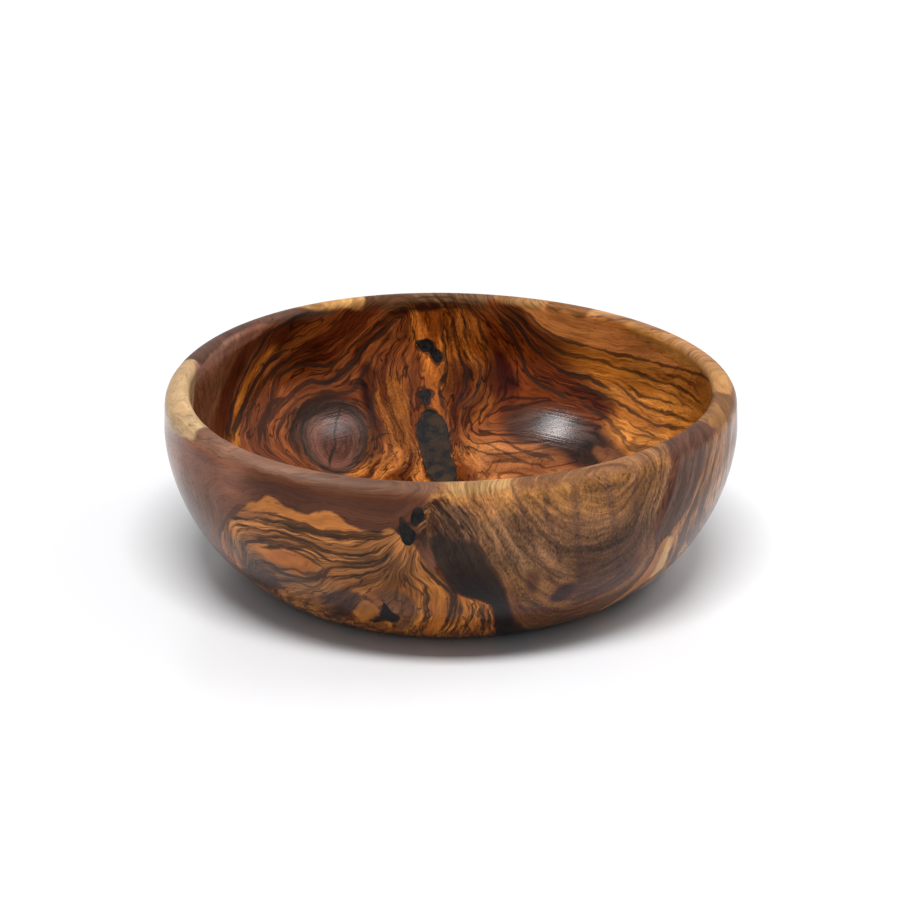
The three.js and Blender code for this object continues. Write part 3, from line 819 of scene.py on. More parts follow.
lay_patches(inside, [
    ((104, 73, 60), (72, 50, 42), 0.3, 0, 0.9, RIM * 0.75, [
        (217, -4), (219, -14), (215, -26), (220, -38), (216, -50), (224, -66), (240, -74), (258, -68),
        (270, -56), (262, -30), (257, -10), (258, 3), (250, 3.5), (238, 2), (230, 2.5), (222, 5),
        (208, 5.2), (214, 2.5), (218, 0)]),
    ((156, 110, 86), (118, 80, 62), 0.3, 0, 1.3, RIM, [
        (-60, -5), (-48, -5.5), (-14, -5), (-3.5, -4.5), (-2.5, 0), (-3, 9), (-30, 9), (-60, 8), (-62, 2)]),
    ((184, 128, 84), (128, 84, 56), 0.5, 0.5, 1.5, RIM, [
        (-3, -5), (12, -5), (40, -5), (47, -5), (47, 8), (30, 10), (10, 10), (-2.5, 9), (-2.5, 0)]),
    ((222, 172, 112), (176, 126, 78), 0.4, 0, 1.5, RIM, [
        (0, -4.5), (6, -5), (11, -4), (12, 2), (9, 8), (1, 8)]),
    ((142, 100, 77), (106, 73, 57), 0.3, 0, 2.5, RIM, [
        (-28, -5), (-14, -5), (-4, -4.5), (-3, 0), (-3.5, 9), (-28, 9), (-32, 2)]),
])

# ---- dark mineral lines: the inked strokes of the flow, then the others

for strokes in ALL_STROKES:
    for _, corners, *ink in strokes:
        if ink:
            stroke(corners, *ink)

draw_strokes(outside, [
    ([(-40, 23), (-33, 21), (-29, 22), (-25, 21.6), (-20, 22), (-12, 20), (-10, 18.8)], 1.3, 0.85),
    ([(-44, 30), (-29, 26.8), (-20, 30.5), (-14, 28), (-11.5, 25)], 0.7, 0.7),
    ([(-45, 39), (-44, 35), (-41, 32.5), (-37, 31), (-29, 30.6), (-24, 35)], 0.9, 0.8),
    ([(-47, 37), (-46, 34), (-43, 31), (-40, 29.5)], 0.7, 0.6),
    ([(-26, 44), (-38, 58), (-42, 66)], 1.1, 0.45),
    ([(-30, 50), (-36, 64), (-38, 72)], 1.0, 0.4),
    ([(-9.5, 33), (-8.5, 37), (-5.3, 45), (-5.6, 58), (-8.5, 70), (-9, 78)], 0.7, 0.6),
    ([(-5, 28), (-3.8, 32), (0, 40), (0.8, 44), (0.9, 56), (-2, 74)], 0.7, 0.8),
    ([(1.5, 44.5), (2.2, 50), (1.4, 62), (-0.5, 75)], 0.8, 0.75),
    ([(3, 45.5), (4.5, 54), (2.8, 71)], 0.8, 0.8),
    ([(4.6, 48), (6, 52), (7.8, 68), (8.5, 75)], 0.9, 0.85),
    ([(6.3, 49.5), (7.8, 54), (8.3, 60), (10, 73)], 0.8, 0.8),
    ([(-56, 45), (-52.5, 35), (-45, 22), (-41, 18.5)], 1.4, 0.45),
    ([(-50, 40), (-49, 34), (-46, 29)], 0.8, 0.55),
    ([(-53, 44), (-52, 38), (-49.5, 31)], 0.8, 0.5),
    ([(-4.5, 15), (-5.3, 20), (-5, 25)], 1.6, 0.8),
    ([(-3.6, 6), (-3, 8), (-2.5, 11)], 2.0, 0.7),
    ([(48.5, 6), (47.5, 13), (44, 27)], 0.8, 0.6),
    ([(52, 6), (46.5, 28)], 1.1, 0.35),
    ([(55, 5), (51, 20), (48, 29)], 0.9, 0.35),
    ([(53, 38), (54, 44), (57, 52), (62, 58), (70, 62), (80, 64)], 1.0, 0.55),
    ([(52.5, 31), (53, 38), (55, 47), (60, 55)], 0.8, 0.55),
    ([(57, 22), (56, 32), (58, 42), (63, 50), (72, 55), (86, 57)], 1.0, 0.5),
    ([(62, 14), (60, 24), (60, 34), (64, 44), (72, 49), (86, 51)], 1.1, 0.55),
    ([(67, 12), (65, 20), (65, 30), (69, 39), (78, 44), (90, 45)], 0.8, 0.5),
    ([(72, 10), (70, 18), (71, 27), (76, 34), (88, 37)], 1.0, 0.5),
    ([(79, 9), (77, 17), (80, 24), (90, 27)], 0.8, 0.5),
    ([(-41, 35), (-35, 31.8), (-31, 32), (-25.6, 36), (-26.5, 38.8)], 0.8, 0.7),
    ([(-24, 37.5), (-30, 41), (-33, 40.2), (-36, 42.5), (-39, 41.2), (-42, 43.5)], 1.0, 0.7),
    ([(-20, 35.5), (-19, 38), (-17, 38.5), (-15, 36)], 0.8, 0.75),
    ([(-3.8, 6.4), (-2.4, 7.6), (-1.2, 8.4)], 0.9, 0.75),
    ([(-6.2, 9.4), (-5, 10.2), (-3.8, 10)], 0.6, 0.8),
    ([(-9.2, 18.6), (-9.9, 17), (-9.6, 15.6)], 0.4, 0.85),
    ([(-5.4, 16.6), (-4.5, 19), (-4.8, 22), (-4.4, 25)], 0.5, 0.8),
    ([(-8.8, 22.6), (-8.2, 24.4)], 0.5, 0.85),
    ([(-3.2, 12), (-2.4, 13.6), (-3, 15.4)], 0.4, 0.7),
    ([(0.2, 12), (1.4, 9.6), (3, 9.4)], 0.5, 0.6),
    ([(-51, 56), (-50.5, 57.5)], 2.2, 1.0),
    ([(-47, 49), (-46.6, 50.5)], 1.4, 0.9),
])


draw_strokes(inside, [
    ([(250, 39), (238, 28.5), (229, 19), (221, 15)], 1.4, 0.9),
    ([(246, 41), (235, 29.5), (226, 22), (218, 18)], 1.0, 0.7),
    ([(243, 46), (238, 40), (233, 36), (229, 33), (221, 34)], 1.5, 0.75),
    ([(236, 47), (226, 38), (220, 35), (214, 34.5), (209, 36), (205, 35), (202, 30), (193, 13)], 0.9, 0.7),
    ([(233, 60), (228.5, 46), (220, 37.5), (210, 36), (206.5, 38.5)], 1.3, 0.6),
    ([(208.2, 37.6), (211.2, 44), (213.2, 47), (214.5, 50), (216.8, 53), (218.2, 56.4), (223.8, 62.4),
      (228, 67)], 0.62, 0.95),
    ([(213.2, 47), (215.6, 48), (217, 50.2)], 0.25, 0.85),
    ([(216.8, 53), (214.8, 55), (214.2, 58)], 0.22, 0.8),
    ([(221, 60), (222.6, 58), (225.4, 57.6)], 0.22, 0.75),
    ([(225, 52), (222, 47.5), (218, 46.2), (214, 47.5)], 0.4, 0.45),
    ([(224, 61), (221, 55), (217.5, 49.6)], 0.35, 0.35),
    ([(199.2, 31), (202.8, 48), (205, 55)], 1.0, 0.55),
    ([(191.5, 22), (191.6, 27), (190.4, 37), (190.8, 43), (190.4, 48)], 0.9, 0.65),
    ([(194, 18), (195, 24), (194.4, 30)], 0.6, 0.55),
    ([(197, 20), (198.4, 27), (199, 33)], 0.8, 0.5),
    ([(188, 29), (186.8, 31), (185.5, 30)], 0.9, 0.85),
    ([(183.6, 29), (182.6, 31), (182.4, 33)], 0.8, 0.8),
    ([(184.2, 35), (181.6, 48), (181.4, 56)], 0.9, 0.75),
    ([(192, 13), (190.6, 18), (189.4, 21)], 0.7, 0.5),
    ([(187.5, 11), (186, 14.5), (184.5, 17)], 0.7, 0.55),
    ([(181.2, 12), (180.4, 17), (180.8, 22)], 0.6, 0.5),
    ([(201.5, 58), (200.8, 66), (201.2, 76)], 0.7, 0.45),
    ([(197.5, 66), (194.5, 69), (191.5, 68)], 0.8, 0.5),
    ([(178.6, 60), (176, 63), (175.4, 68), (177, 73)], 0.9, 0.6),
    ([(172.5, 60), (170.4, 64), (171.8, 69)], 0.7, 0.55),
    ([(168, 70), (165, 68), (161.5, 70)], 0.8, 0.5),
    ([(208, 60), (203, 57), (200, 56.5), (197, 58)], 0.8, 0.8),
    ([(174, 8), (173, 15), (170, 27)], 0.9, 0.6),
    ([(170, 6), (167, 12), (163, 24), (161, 30), (157, 34), (147, 38)], 1.3, 0.75),
    ([(169, 5), (165, 10), (160, 20), (153, 27), (142, 28.5), (136, 31)], 1.1, 0.85),
    ([(140, 26.5), (128, 30.5), (121, 30.5), (108, 27), (104, 26.5)], 0.9, 0.75),
    ([(136, 24.5), (129, 28), (124, 27.5), (114, 25)], 0.8, 0.75),
    ([(132, 38), (126, 39.5), (115, 39.4), (111, 38)], 0.7, 0.65),
    ([(115, 15), (110, 14), (101, 14.7)], 0.6, 0.6),
    ([(134, 42.5), (124, 47.5), (119, 47.5), (114, 44)], 1.5, 0.7),
    ([(146, 37), (140, 40), (134, 41.5), (128, 45), (122, 46.5), (117, 45), (113, 42.5)], 1.1, 0.75),
    ([(137, 41), (130, 43), (122, 42), (112, 39)], 0.8, 0.6),
    ([(124, 17), (103, 12)], 0.7, 0.6),
    ([(131, 23.5), (105, 22)], 0.7, 0.55),
    ([(165, 57), (155, 64), (145, 64.5), (140, 66)], 1.4, 0.7),
    ([(172, 60), (158, 68), (150, 70)], 1.2, 0.6),
    ([(189.6, 12), (189, 15.5), (188.2, 19)], 1.2, 0.6),
    ([(184.4, 20), (183.8, 23), (184.2, 26)], 1.1, 0.7),
    ([(187.6, 23), (188.6, 26), (188, 28.5)], 0.9, 0.75),
    ([(181.8, 15), (181.2, 17.5)], 0.8, 0.7),
    ([(191.5, 2.8), (182.5, 2.2), (173, 4)], 0.6, 0.7),
    ([(189.8, 6.4), (179, 6.4), (174, 7.2)], 0.6, 0.75),
    ([(189, 4.5), (177, 4.8), (172, 6)], 0.5, 0.8),
    ([(196, 6), (190, 6.5), (184, 8)], 0.8, 0.7),
])

# ------------------------------------------------------------------ filled voids

# A plug stands just proud of the wall. Its pocket is a little deeper, and keeps inside its edge.
PLUG_PROUD = 0.03
PLUG_LUMP = 0.03
PLUG_DEEP = 1.3
PLUG_TAPER = 0.9
PLUG_RINGS = 14
POCKET_DEEP = 1.7
POCKET_INSET = 0.45
OUTLINE_STEPS = 120
# The wall behind a drawn outline is looked for this far either way, in these steps, the nearest first.
SEARCH_DEPTH = 20.0
SEARCH_STEP = 0.1
NEAR_WEIGHT = 0.002
# The stain round a void: how far it reaches, how ragged its edge is, and how dark it is.
STAIN_REACH = 0.6
STAIN_RAGGED = 1.3
STAIN_TONE = 0.75

VOIDS = {
    "inner_patch_fill": ("inside", 185.5, 17.2, [
        (-2, 17.6), (-5.6, 11.4), (-6.2, 3.5), (-5.4, -4), (-4.8, -11), (-2.6, -19.5), (1, -23.5),
        (5.4, -21.5), (6.6, -14.4), (5.4, -5), (5.7, 4), (5.3, 11), (2.2, 16.2)]),
    "inner_upper_knot_fill": ("inside", 185, 45.2, [
        (-5.4, 3.4), (-3, 4.1), (-0.8, 4.3), (1, 3), (1.8, 0.9), (3.5, -0.3), (4.7, -2.2),
        (4.1, -4.4), (2.3, -4.6), (0.7, -3), (-0.4, -0.9), (-2.5, -0.5), (-4.1, 1)]),
    "inner_middle_knot_fill": ("inside", 186.8, 30.2, [
        (0.4, 2.4), (1.9, 1.7), (2.3, -0.2), (1.3, -1.6), (0.4, -3.4), (-0.9, -3.7), (-1.5, -1.8),
        (-2.3, -0.3), (-1.8, 1.5)]),
    "front_upper_knot_fill": ("outside", -6.2, 57.6, [
        (1.5, 2.7), (0.1, 2.4), (-1.6, 1), (-2, -0.9), (-1, -2.8), (0.6, -2.3), (1.9, -0.7), (2.3, 1.1)]),
    "front_lower_knot_fill": ("outside", -7.9, 51.6, [
        (-2.3, 3.9), (-0.7, 3.3), (0.9, 2), (2.4, 0.5), (2.3, -1.6), (1.4, -3.4), (0.2, -4.2),
        (-1.2, -3.6), (-2.1, -1.6), (-2.7, 1.2)]),
    "foot_knot_fill": ("outside", -14, 16.5, [
        (0.3, 7.5), (1.3, 3.8), (2.8, 0.8), (3.7, -1.9), (2.7, -4.3), (0.6, -4.7), (-1.2, -4.2),
        (-3.6, -6.6), (-5.7, -7.8), (-5.4, -5.6), (-3, -2.8), (-1.7, 0.6), (-0.7, 4)]),
}


def wall_frame(side, angle, height):
    """The plane that a void's outline is drawn in: its place, across, up and out."""
    radius_at = outer_radius_at if side == "outside" else inner_radius_at
    span = 0.5
    below = min(height, WIDEST_HEIGHT) - span
    slope = (radius_at(below + span) - radius_at(below)) / span
    turn = math.radians(angle)
    radial = np.array([math.sin(turn), -math.cos(turn), 0.0])
    up = radial * slope + np.array([0, 0, 1.0])
    up /= np.linalg.norm(up)
    across = np.array([math.cos(turn), math.sin(turn), 0.0]) * (1 if side == "outside" else -1)
    radius = BOWL_RADIUS if side == "outside" and height > WIDEST_HEIGHT else radius_at(height)
    place = radial * radius + np.array([0, 0, height])
    return place, across, up, np.cross(across, up)


def chart_outline(side, angle, height, corners):
    """A void's outline as (angle, over) places, where it meets the wall straight behind the drawing."""
    place, across, up, out = wall_frame(side, angle, height)
    corners = np.array(corners, float)
    steps = OUTLINE_STEPS // len(corners) + 1
    flat = np.vstack([catmull_rom(*span, steps) for span in spans(corners, closed=True)])
    depths = np.linspace(-SEARCH_DEPTH, SEARCH_DEPTH, int(2 * SEARCH_DEPTH / SEARCH_STEP) + 1)
    low, high = (FOOT_CENTRE, 0) if side == "outside" else (0, FLOOR_CENTRE)
    lengths = np.arange(low, high, SEARCH_STEP)
    wall = np.stack(section_at(lengths), axis=-1)
    result = []
    for x, y in flat:
        points = place + across * x + up * y + out * depths[:, None]
        radii, heights = np.hypot(points[:, 0], points[:, 1]), points[:, 2]
        gaps = np.hypot(radii[:, None] - wall[None, :, 0], heights[:, None] - wall[None, :, 1])
        score = gaps.min(axis=1) + NEAR_WEIGHT * np.abs(depths)
        best = int(score.argmin())
        over = float(lengths[gaps[best].argmin()])
        turned = math.degrees(math.atan2(points[best, 0], -points[best, 1]))
        result.append(((turned - angle + 180) % 360 - 180 + angle, over))
    return np.array(result)


OUTLINES = {name: chart_outline(*void) for name, void in VOIDS.items()}

POCKET = np.zeros(GRID_ANGLE.shape)
for chart in OUTLINES.values():
    part, shaken_angle, shaken_over, scale = near_window(chart, 3)
    depth = depth_within(chart, shaken_angle - SHAKEN_ANGLE[part], shaken_over - SHAKE_OVER[part], scale)
    POCKET[part] = np.maximum(POCKET[part], POCKET_DEEP * (depth > POCKET_INSET))
    # The wood is stained dark right round each void.
    lay_ink(part, depth + STAIN_REACH + STAIN_RAGGED * noise(GRID_POINTS[part], 2.2, 77), STAIN_TONE)


# ------------------------------------------------------------------ meshes


def mesh_from(name, points, faces):
    mesh = bpy.data.meshes.new(name)
    mesh.from_pydata([tuple(point) for point in points], [], faces)
    mesh.polygons.foreach_set("use_smooth", np.ones(len(faces), bool))
    mesh.update()
    return mesh


def add_piece(name, mesh, material, node):
    piece = bpy.data.objects.new(name, mesh)
    bpy.context.scene.collection.objects.link(piece)
    mesh.materials.append(material)
    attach(piece, "root")
    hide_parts(node)


def store(mesh, name, kind, values):
    layer = mesh.attributes.new(name, kind, "POINT")
    layer.data.foreach_set("value" if kind == "FLOAT" else "color", values.astype(np.float32).ravel())


def bowl_mesh():
    normals = wall_normal(GRID_ANGLE, GRID_OVER)
    points = GRID_POINTS - normals * POCKET[..., None]
    rows, columns = GRID_ANGLE.shape
    foot_centre = [0.0, 0.0, 0.0]
    floor_centre = [0.0, 0.0, FLOOR_THICKNESS]
    points = np.vstack([points.reshape(-1, 3), foot_centre, floor_centre]) * MM
    row, column = np.meshgrid(np.arange(rows - 1), np.arange(columns), indexing="ij")
    after = (column + 1) % columns
    this_row, next_row = row * columns, (row + 1) * columns
    quads = np.stack([this_row + column, this_row + after, next_row + after, next_row + column], -1)
    step = np.arange(columns)
    onward = (step + 1) % columns
    foot_fan = np.stack([np.full(columns, rows * columns), onward, step], -1)
    last_row = (rows - 1) * columns
    floor_fan = np.stack([np.full(columns, rows * columns + 1), last_row + step, last_row + onward], -1)
    loops = np.concatenate([quads.ravel(), foot_fan.ravel(), floor_fan.ravel()]).astype(np.int32)
    sizes = np.concatenate([np.full((rows - 1) * columns, 4), np.full(2 * columns, 3)])
    starts = np.concatenate([[0], np.cumsum(sizes)[:-1]]).astype(np.int32)
    mesh = bpy.data.meshes.new("turned_bowl")
    mesh.vertices.add(len(points))
    mesh.vertices.foreach_set("co", points.astype(np.float32).ravel())
    mesh.loops.add(len(loops))
    mesh.loops.foreach_set("vertex_index", loops)
    mesh.polygons.add(len(sizes))
    mesh.polygons.foreach_set("loop_start", starts)
    mesh.polygons.foreach_set("use_smooth", np.ones(len(sizes), bool))
    mesh.update(calc_edges=True)
    layers = {"ring": RING, "over": GRID_OVER, "lines": LINES, "curl": CURL, "ink": INK, "ink_tone": INK_TONE}
    for name, values in layers.items():
        ends = [values[0].mean(), values[-1].mean()]
        store(mesh, name, "FLOAT", np.concatenate([values.ravel(), ends]))
    for name, values in (("light_wood", LIGHT_COLOUR), ("dark_wood", DARK_COLOUR)):
        ends = [values[0].mean(axis=0), values[-1].mean(axis=0)]
        rgb = np.clip(np.vstack([values.reshape(-1, 3), ends]), 0, 1)
        store(mesh, name, "FLOAT_COLOR", np.column_stack([rgb, np.ones(len(rgb))]))
    return mesh


def plug_mesh(name, chart):
    """A closed plug of filler: a faintly uneven top, flush with the wood, and a body that tapers in."""
    middle = chart.mean(axis=0)
    count = len(chart)
    shares = np.linspace(1, 0, PLUG_RINGS + 1)[:-1] ** 0.8
    places = np.concatenate([middle + (chart - middle) * share for share in shares] + [middle[None, :]])
    top = wall_point(places[:, 0], places[:, 1])
    normals = wall_normal(places[:, 0], places[:, 1])
    lump = PLUG_LUMP * noise(top, 2.2, 91) * np.concatenate([np.repeat(1 - shares, count), [1.0]])
    top = top + normals * (PLUG_PROUD + lump)[:, None]
    low_angle, low_over = (middle + (chart - middle) * PLUG_TAPER).T
    low = wall_point(low_angle, low_over) - wall_normal(low_angle, low_over) * PLUG_DEEP
    low_middle = wall_point(*middle) - wall_normal(*middle) * PLUG_DEEP
    points = np.vstack([top, low, low_middle[None, :]])
    faces = []
    for start in range(0, (PLUG_RINGS - 1) * count, count):
        for step in range(count):
            onward = (step + 1) % count
            faces.append((start + step, start + onward, start + count + onward, start + count + step))
    last = (PLUG_RINGS - 1) * count
    centre = PLUG_RINGS * count
    low_start = centre + 1
    low_centre = low_start + count
    for step in range(count):
        onward = (step + 1) % count
        faces.append((last + step, last + onward, centre))
        faces.append((onward, step, low_start + step, low_start + onward))
        faces.append((low_start + onward, low_start + step, low_centre))
    first = points[list(faces[0][:3])]
    if np.cross(first[1] - first[0], first[2] - first[0]) @ normals[0] < 0:
        faces = [face[::-1] for face in faces]
    return mesh_from(name, points * MM, faces)


# ------------------------------------------------------------------ materials


class Graph:
    """Short calls that add nodes to one material or world."""

    def __init__(self, owner, place):
        owner.use_nodes = True
        self.nodes = owner.node_tree.nodes
        self.links = owner.node_tree.links
        self.place = self.node("TexCoord").outputs[place]

    def join(self, value, socket):
        if isinstance(value, bpy.types.NodeSocket):
            self.links.new(value, socket)
        else:
            socket.default_value = value

    def fill(self, node, inputs):
        for key, value in inputs.items():
            self.join(value, node.inputs[key])

    def node(self, kind, inputs=None, **settings):
        made = self.nodes.new("ShaderNode" + kind)
        for key, value in settings.items():
            setattr(made, key, value)
        self.fill(made, inputs or {})
        return made

    def attribute(self, name, output="Fac"):
        return self.node("Attribute", attribute_name=name).outputs[output]

    def math(self, operation, a, b=0.0):
        return self.node("Math", {0: a, 1: b}, operation=operation).outputs[0]

    def vector(self, operation, a, b):
        return self.node("VectorMath", {0: a, 1: b}, operation=operation).outputs[0]

    def along(self, ring, ring_scale, place_scale):
        """A noise place that changes fast across the rings and slowly along them."""
        across = self.node("CombineXYZ", {0: self.math("MULTIPLY", ring, ring_scale)})
        slow = self.vector("MULTIPLY", self.place, (place_scale / MM,) * 3)
        return self.vector("ADD", slow, across.outputs[0])

    def noise(self, vector, scale=1.0, detail=2.0, roughness=0.5):
        inputs = {"Vector": vector, "Scale": scale, "Detail": detail, "Roughness": roughness}
        return self.node("TexNoise", inputs).outputs["Fac"]

    def ramp(self, value, low, high, start=0.0, end=1.0, kind="SMOOTHSTEP"):
        inputs = {"Value": value, "From Min": low, "From Max": high, "To Min": start, "To Max": end}
        return self.node("MapRange", inputs, interpolation_type=kind).outputs["Result"]

    def mix(self, share, a, b, blend="MIX"):
        inputs = {"Factor": share, "A": a, "B": b}
        return self.node("Mix", inputs, data_type="RGBA", blend_type=blend).outputs["Result"]

    def bump(self, height, distance, normal=None):
        made = self.node("Bump", {"Strength": 1.0, "Distance": distance, "Height": height})
        if normal is not None:
            self.join(normal, made.inputs["Normal"])
        return made.outputs["Normal"]


def start_material(name):
    """A new material, with its graph and its shader."""
    material = bpy.data.materials.new(name)
    graph = Graph(material, "Object")
    return material, graph, graph.nodes["Principled BSDF"]


def olive_wood():
    material, g, shader = start_material("olive_wood")
    ring = g.attribute("ring")
    lines = g.attribute("lines")
    curl = g.attribute("curl")
    place = g.vector("MULTIPLY", g.place, (1 / MM,) * 3)

    # Broad bands, then thin dark lines, then hair-fine streaks, all along the rings.
    broad = g.noise(g.along(ring, 0.20, 0.028), detail=3.0, roughness=0.6)
    band = g.math("MULTIPLY", g.ramp(broad, 0.43, 0.58), g.ramp(lines, 0.0, 1.0, 0.35, 1.0))
    thin = g.noise(g.along(ring, 0.42, 0.05), roughness=0.55)
    ridge = g.math("ABSOLUTE", g.math("SUBTRACT", thin, 0.5))
    line = g.math("MULTIPLY", g.ramp(ridge, 0.008, 0.036, 1.0, 0.0), lines)
    second = g.noise(g.along(ring, 0.8, 0.07), detail=1.0)
    second_ridge = g.math("ABSOLUTE", g.math("SUBTRACT", second, 0.46))
    second_line = g.math("MULTIPLY", g.ramp(second_ridge, 0.008, 0.06, 0.7, 0.0), lines)
    streak = g.noise(g.along(ring, 2.4, 0.16))

    dark_wood = g.attribute("dark_wood", "Color")
    wood = g.mix(band, g.attribute("light_wood", "Color"), dark_wood)
    wood = g.mix(g.math("MULTIPLY", second_line, 0.8), wood, dark_wood)
    dark_line = g.mix(1.0, dark_wood, (0.27, 0.235, 0.235, 1), blend="MULTIPLY")
    wood = g.mix(g.math("MULTIPLY", line, 0.85), wood, dark_line)

    # Streaks, blotches and the flecks of curly grain change how bright the wood is.
    blotch = g.noise(place, 0.06)
    fleck_place = g.vector("MULTIPLY", g.place, (1.5 / MM, 1.5 / MM, 0.75 / MM))
    fleck = g.noise(fleck_place, roughness=0.6)
    wave = g.noise(g.along(ring, 0.5, 0.05))
    plain = g.math("MULTIPLY", g.ramp(curl, 0.0, 1.0, 1.0, 0.35), g.ramp(lines, 0.1, 0.7, 0.55, 1.0))
    grain = g.math("ADD", 1.0, g.math("MULTIPLY", g.ramp(streak, 0.3, 0.7, -0.24, 0.22), plain))
    cloud = g.ramp(blotch, 0.35, 0.65, 0.88, 1.12)
    fleck_gain = g.math("MULTIPLY", g.math("SUBTRACT", fleck, 0.5), g.math("MULTIPLY", curl, 2.1))
    wave_gain = g.math("MULTIPLY", g.math("SUBTRACT", wave, 0.5), g.math("MULTIPLY", curl, 2.5))
    bright = g.math("MULTIPLY", grain, cloud)
    bright = g.math("MULTIPLY", bright, g.math("ADD", 1.0, g.math("ADD", fleck_gain, wave_gain)))
    bright = g.math("MAXIMUM", bright, 0.3)
    shade = g.node("CombineColor", {0: bright, 1: bright, 2: bright})
    wood = g.mix(1.0, wood, shade.outputs[0], blend="MULTIPLY")

    # Pores: short dark dashes along the grain.
    pore = g.noise(g.along(ring, 3.2, 0.5), detail=1.0)
    wood = g.mix(g.ramp(pore, 0.62, 0.72, 0.0, 0.5), wood, dark_line)

    ink = g.math("MULTIPLY", g.ramp(g.attribute("ink"), -0.28, 0.34), g.attribute("ink_tone"))
    wood = g.mix(ink, wood, (0.012, 0.0065, 0.0045, 1))

    # An oiled satin face with the finest turning ridges left on it, and a duller rim.
    over = g.attribute("over")
    ridges = g.node("TexNoise", {"W": over, "Scale": 0.9, "Detail": 2.0}, noise_dimensions="1D")
    rim = g.math("MULTIPLY", g.ramp(over, -9.0, -4.0), g.ramp(over, 5.0, 9.0, 1.0, 0.0))
    rough = g.math("ADD", g.ramp(streak, 0.3, 0.7, 0.17, 0.225), g.math("MULTIPLY", ink, 0.06))
    rough = g.math("ADD", rough, g.math("MULTIPLY", rim, 0.27))
    turned = g.bump(ridges.outputs["Fac"], 0.04 * MM)
    fibres = g.bump(streak, 0.012 * MM, normal=turned)
    g.fill(shader, {
        "Base Color": wood,
        "Roughness": rough,
        "IOR": 1.47,
        "Specular IOR Level": 0.13,
        "Normal": fibres,
    })
    return material


def knot_filler(name, deep, pale, cloud_scale):
    """Tinted stopping: clouds of two tones, with a few pale specks."""
    material, g, shader = start_material(name)
    place = g.vector("MULTIPLY", g.place, (1 / MM,) * 3)
    cloud = g.ramp(g.noise(place, cloud_scale, 3.0, 0.6), 0.36, 0.66)
    speck = g.ramp(g.noise(place, 2.6, 1.0), 0.62, 0.7, 0.0, 0.5)
    colour = g.mix(cloud, deep, pale)
    colour = g.mix(speck, colour, (0.06, 0.045, 0.032, 1))
    g.fill(shader, {
        "Base Color": colour,
        "Roughness": g.ramp(cloud, 0.0, 1.0, 0.5, 0.65),
        "Specular IOR Level": 0.12,
        "Normal": g.bump(g.noise(place, 1.6, 3.0), 0.12 * MM),
    })
    return material


add_piece("turned_bowl", bowl_mesh(), olive_wood(), "bowl_body")
black_filler = knot_filler("black_filler", (0.004, 0.004, 0.0045, 1), (0.014, 0.012, 0.011, 1), 0.5)
grey_filler = knot_filler("grey_filler", (0.0045, 0.0045, 0.005, 1), (0.026, 0.0145, 0.008, 1), 0.17)
for name, chart in OUTLINES.items():
    filler = grey_filler if name == "inner_patch_fill" else black_filler
    add_piece(name.replace("_fill", "_plug"), plug_mesh(name, chart), filler, name)

# ------------------------------------------------------------------ table, light and camera

BOWL_MIDDLE = (0.0, 0.0, 0.03)


def area_light(name, direction, distance, size, power, shows=True, lights=True, aim=BOWL_MIDDLE, spread=180):
    """A rectangular lamp that looks at its aim, sized in metres, with its power in watts."""
    data = bpy.data.lights.new(name, "AREA")
    data.shape = "RECTANGLE"
    data.size, data.size_y = size
    data.energy = power
    data.spread = math.radians(spread)
    lamp = bpy.data.objects.new(name, data)
    bpy.context.scene.collection.objects.link(lamp)
    place = Vector(direction).normalized() * distance
    lamp.location = place + Vector(aim)
    lamp.visible_glossy = shows
    lamp.visible_diffuse = lights
    lamp.rotation_euler = (-place).to_track_quat("-Z", "Y").to_euler()


# The softboxes only make the two highlights inside, and the other lamps only light the scene.
area_light("softbox_left", (-0.404, 0.215, 0.889), 1.25, (0.40, 0.08), 10.0, lights=False)
area_light("softbox_right", (0.453, 0.225, 0.863), 1.25, (0.30, 0.14), 2.6, lights=False)
area_light("side_fill", (0.75, 0.15, 0.8), 2.0, (0.9, 0.7), 12.0, shows=False)
area_light("overhead", (0.0, -0.36, 1.0), 2.2, (1.2, 0.45), 82.0, shows=False)
area_light("backdrop", (0.0, 0.0, 1.0), 1.0, (1.6, 0.5), 7.0, shows=False, aim=(0, 1.15, 0), spread=84)


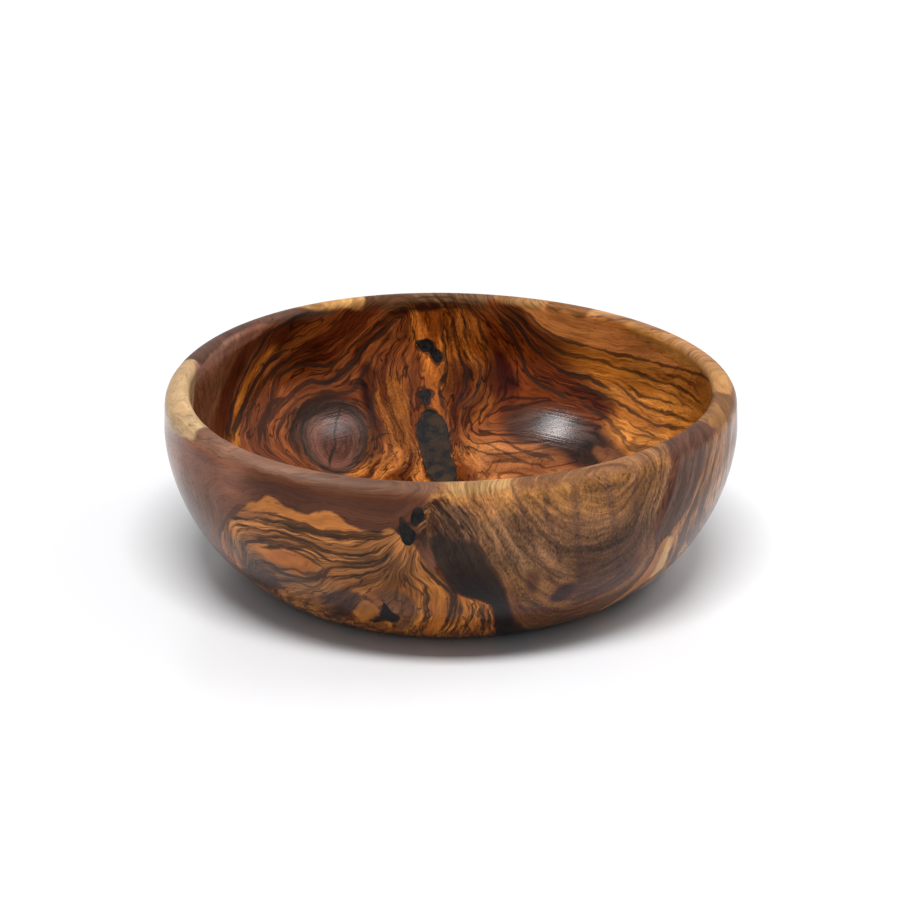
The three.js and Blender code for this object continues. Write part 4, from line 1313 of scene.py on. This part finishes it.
def white_room():
    """Light from all round, dimmer in front, where the camera and the dark of the room are."""
    world = bpy.data.worlds.new("white_room")
    bpy.context.scene.world = world
    g = Graph(world, "Generated")
    parts = g.node("SeparateXYZ", {0: g.place})
    back, up = parts.outputs["Y"], parts.outputs["Z"]
    front_to_back = g.ramp(back, -0.55, 0.35, 0.55, 0.75)
    # Below the table top only the far side is bright, so the bowl's front has no veil of floor glare.
    above = g.ramp(up, -0.06, 0.04, 0.04, 1.0, kind="LINEAR")
    far = g.ramp(back, 0.35, 0.8, kind="LINEAR")
    # Low in front, towards the camera, the room is darkest.
    high_up = g.ramp(up, 0.0, 0.55, 0.2, 1.0, kind="LINEAR")
    beside = g.ramp(back, -0.6, -0.1, kind="LINEAR")
    lit = g.math("MULTIPLY", g.math("MAXIMUM", above, far), g.math("MAXIMUM", high_up, beside))
    strength = g.math("MULTIPLY", front_to_back, lit)
    g.fill(g.nodes["Background"], {"Color": (1, 1, 1, 1), "Strength": strength})


white_room()

TABLE_HALF = 6.0
table_corners = [(x * TABLE_HALF, y * TABLE_HALF, 0) for x, y in ((-1, -1), (1, -1), (1, 1), (-1, 1))]
table_mesh = bpy.data.meshes.new("table")
table_mesh.from_pydata(table_corners, [], [(0, 1, 2, 3)])
table = bpy.data.objects.new("table", table_mesh)
bpy.context.scene.collection.objects.link(table)
table_material = bpy.data.materials.new("white_table")
table_material.use_nodes = True
table_shader = table_material.node_tree.nodes["Principled BSDF"]
table_shader.inputs["Base Color"].default_value = (0.5, 0.5, 0.51, 1)
table_shader.inputs["Roughness"].default_value = 0.28
table_mesh.materials.append(table_material)

CAMERA_DISTANCE = 1.0
CAMERA_ELEVATION = math.radians(21.83)
TARGET_HEIGHT = 0.0406
LENS_MM = 113.64
SENSOR_MM = 36.0
LENS_SHIFT = -0.00094
camera_data = bpy.data.cameras.new("camera")
camera_data.lens = LENS_MM
camera_data.sensor_width = SENSOR_MM
camera_data.shift_x = LENS_SHIFT
camera = bpy.data.objects.new("camera", camera_data)
bpy.context.scene.collection.objects.link(camera)
camera.location = (
    0.0,
    -CAMERA_DISTANCE * math.cos(CAMERA_ELEVATION),
    TARGET_HEIGHT + CAMERA_DISTANCE * math.sin(CAMERA_ELEVATION),
)
camera.rotation_euler = (math.pi / 2 - CAMERA_ELEVATION, 0.0, 0.0)
bpy.context.scene.camera = camera
bpy.context.scene.view_settings.view_transform = "Standard"
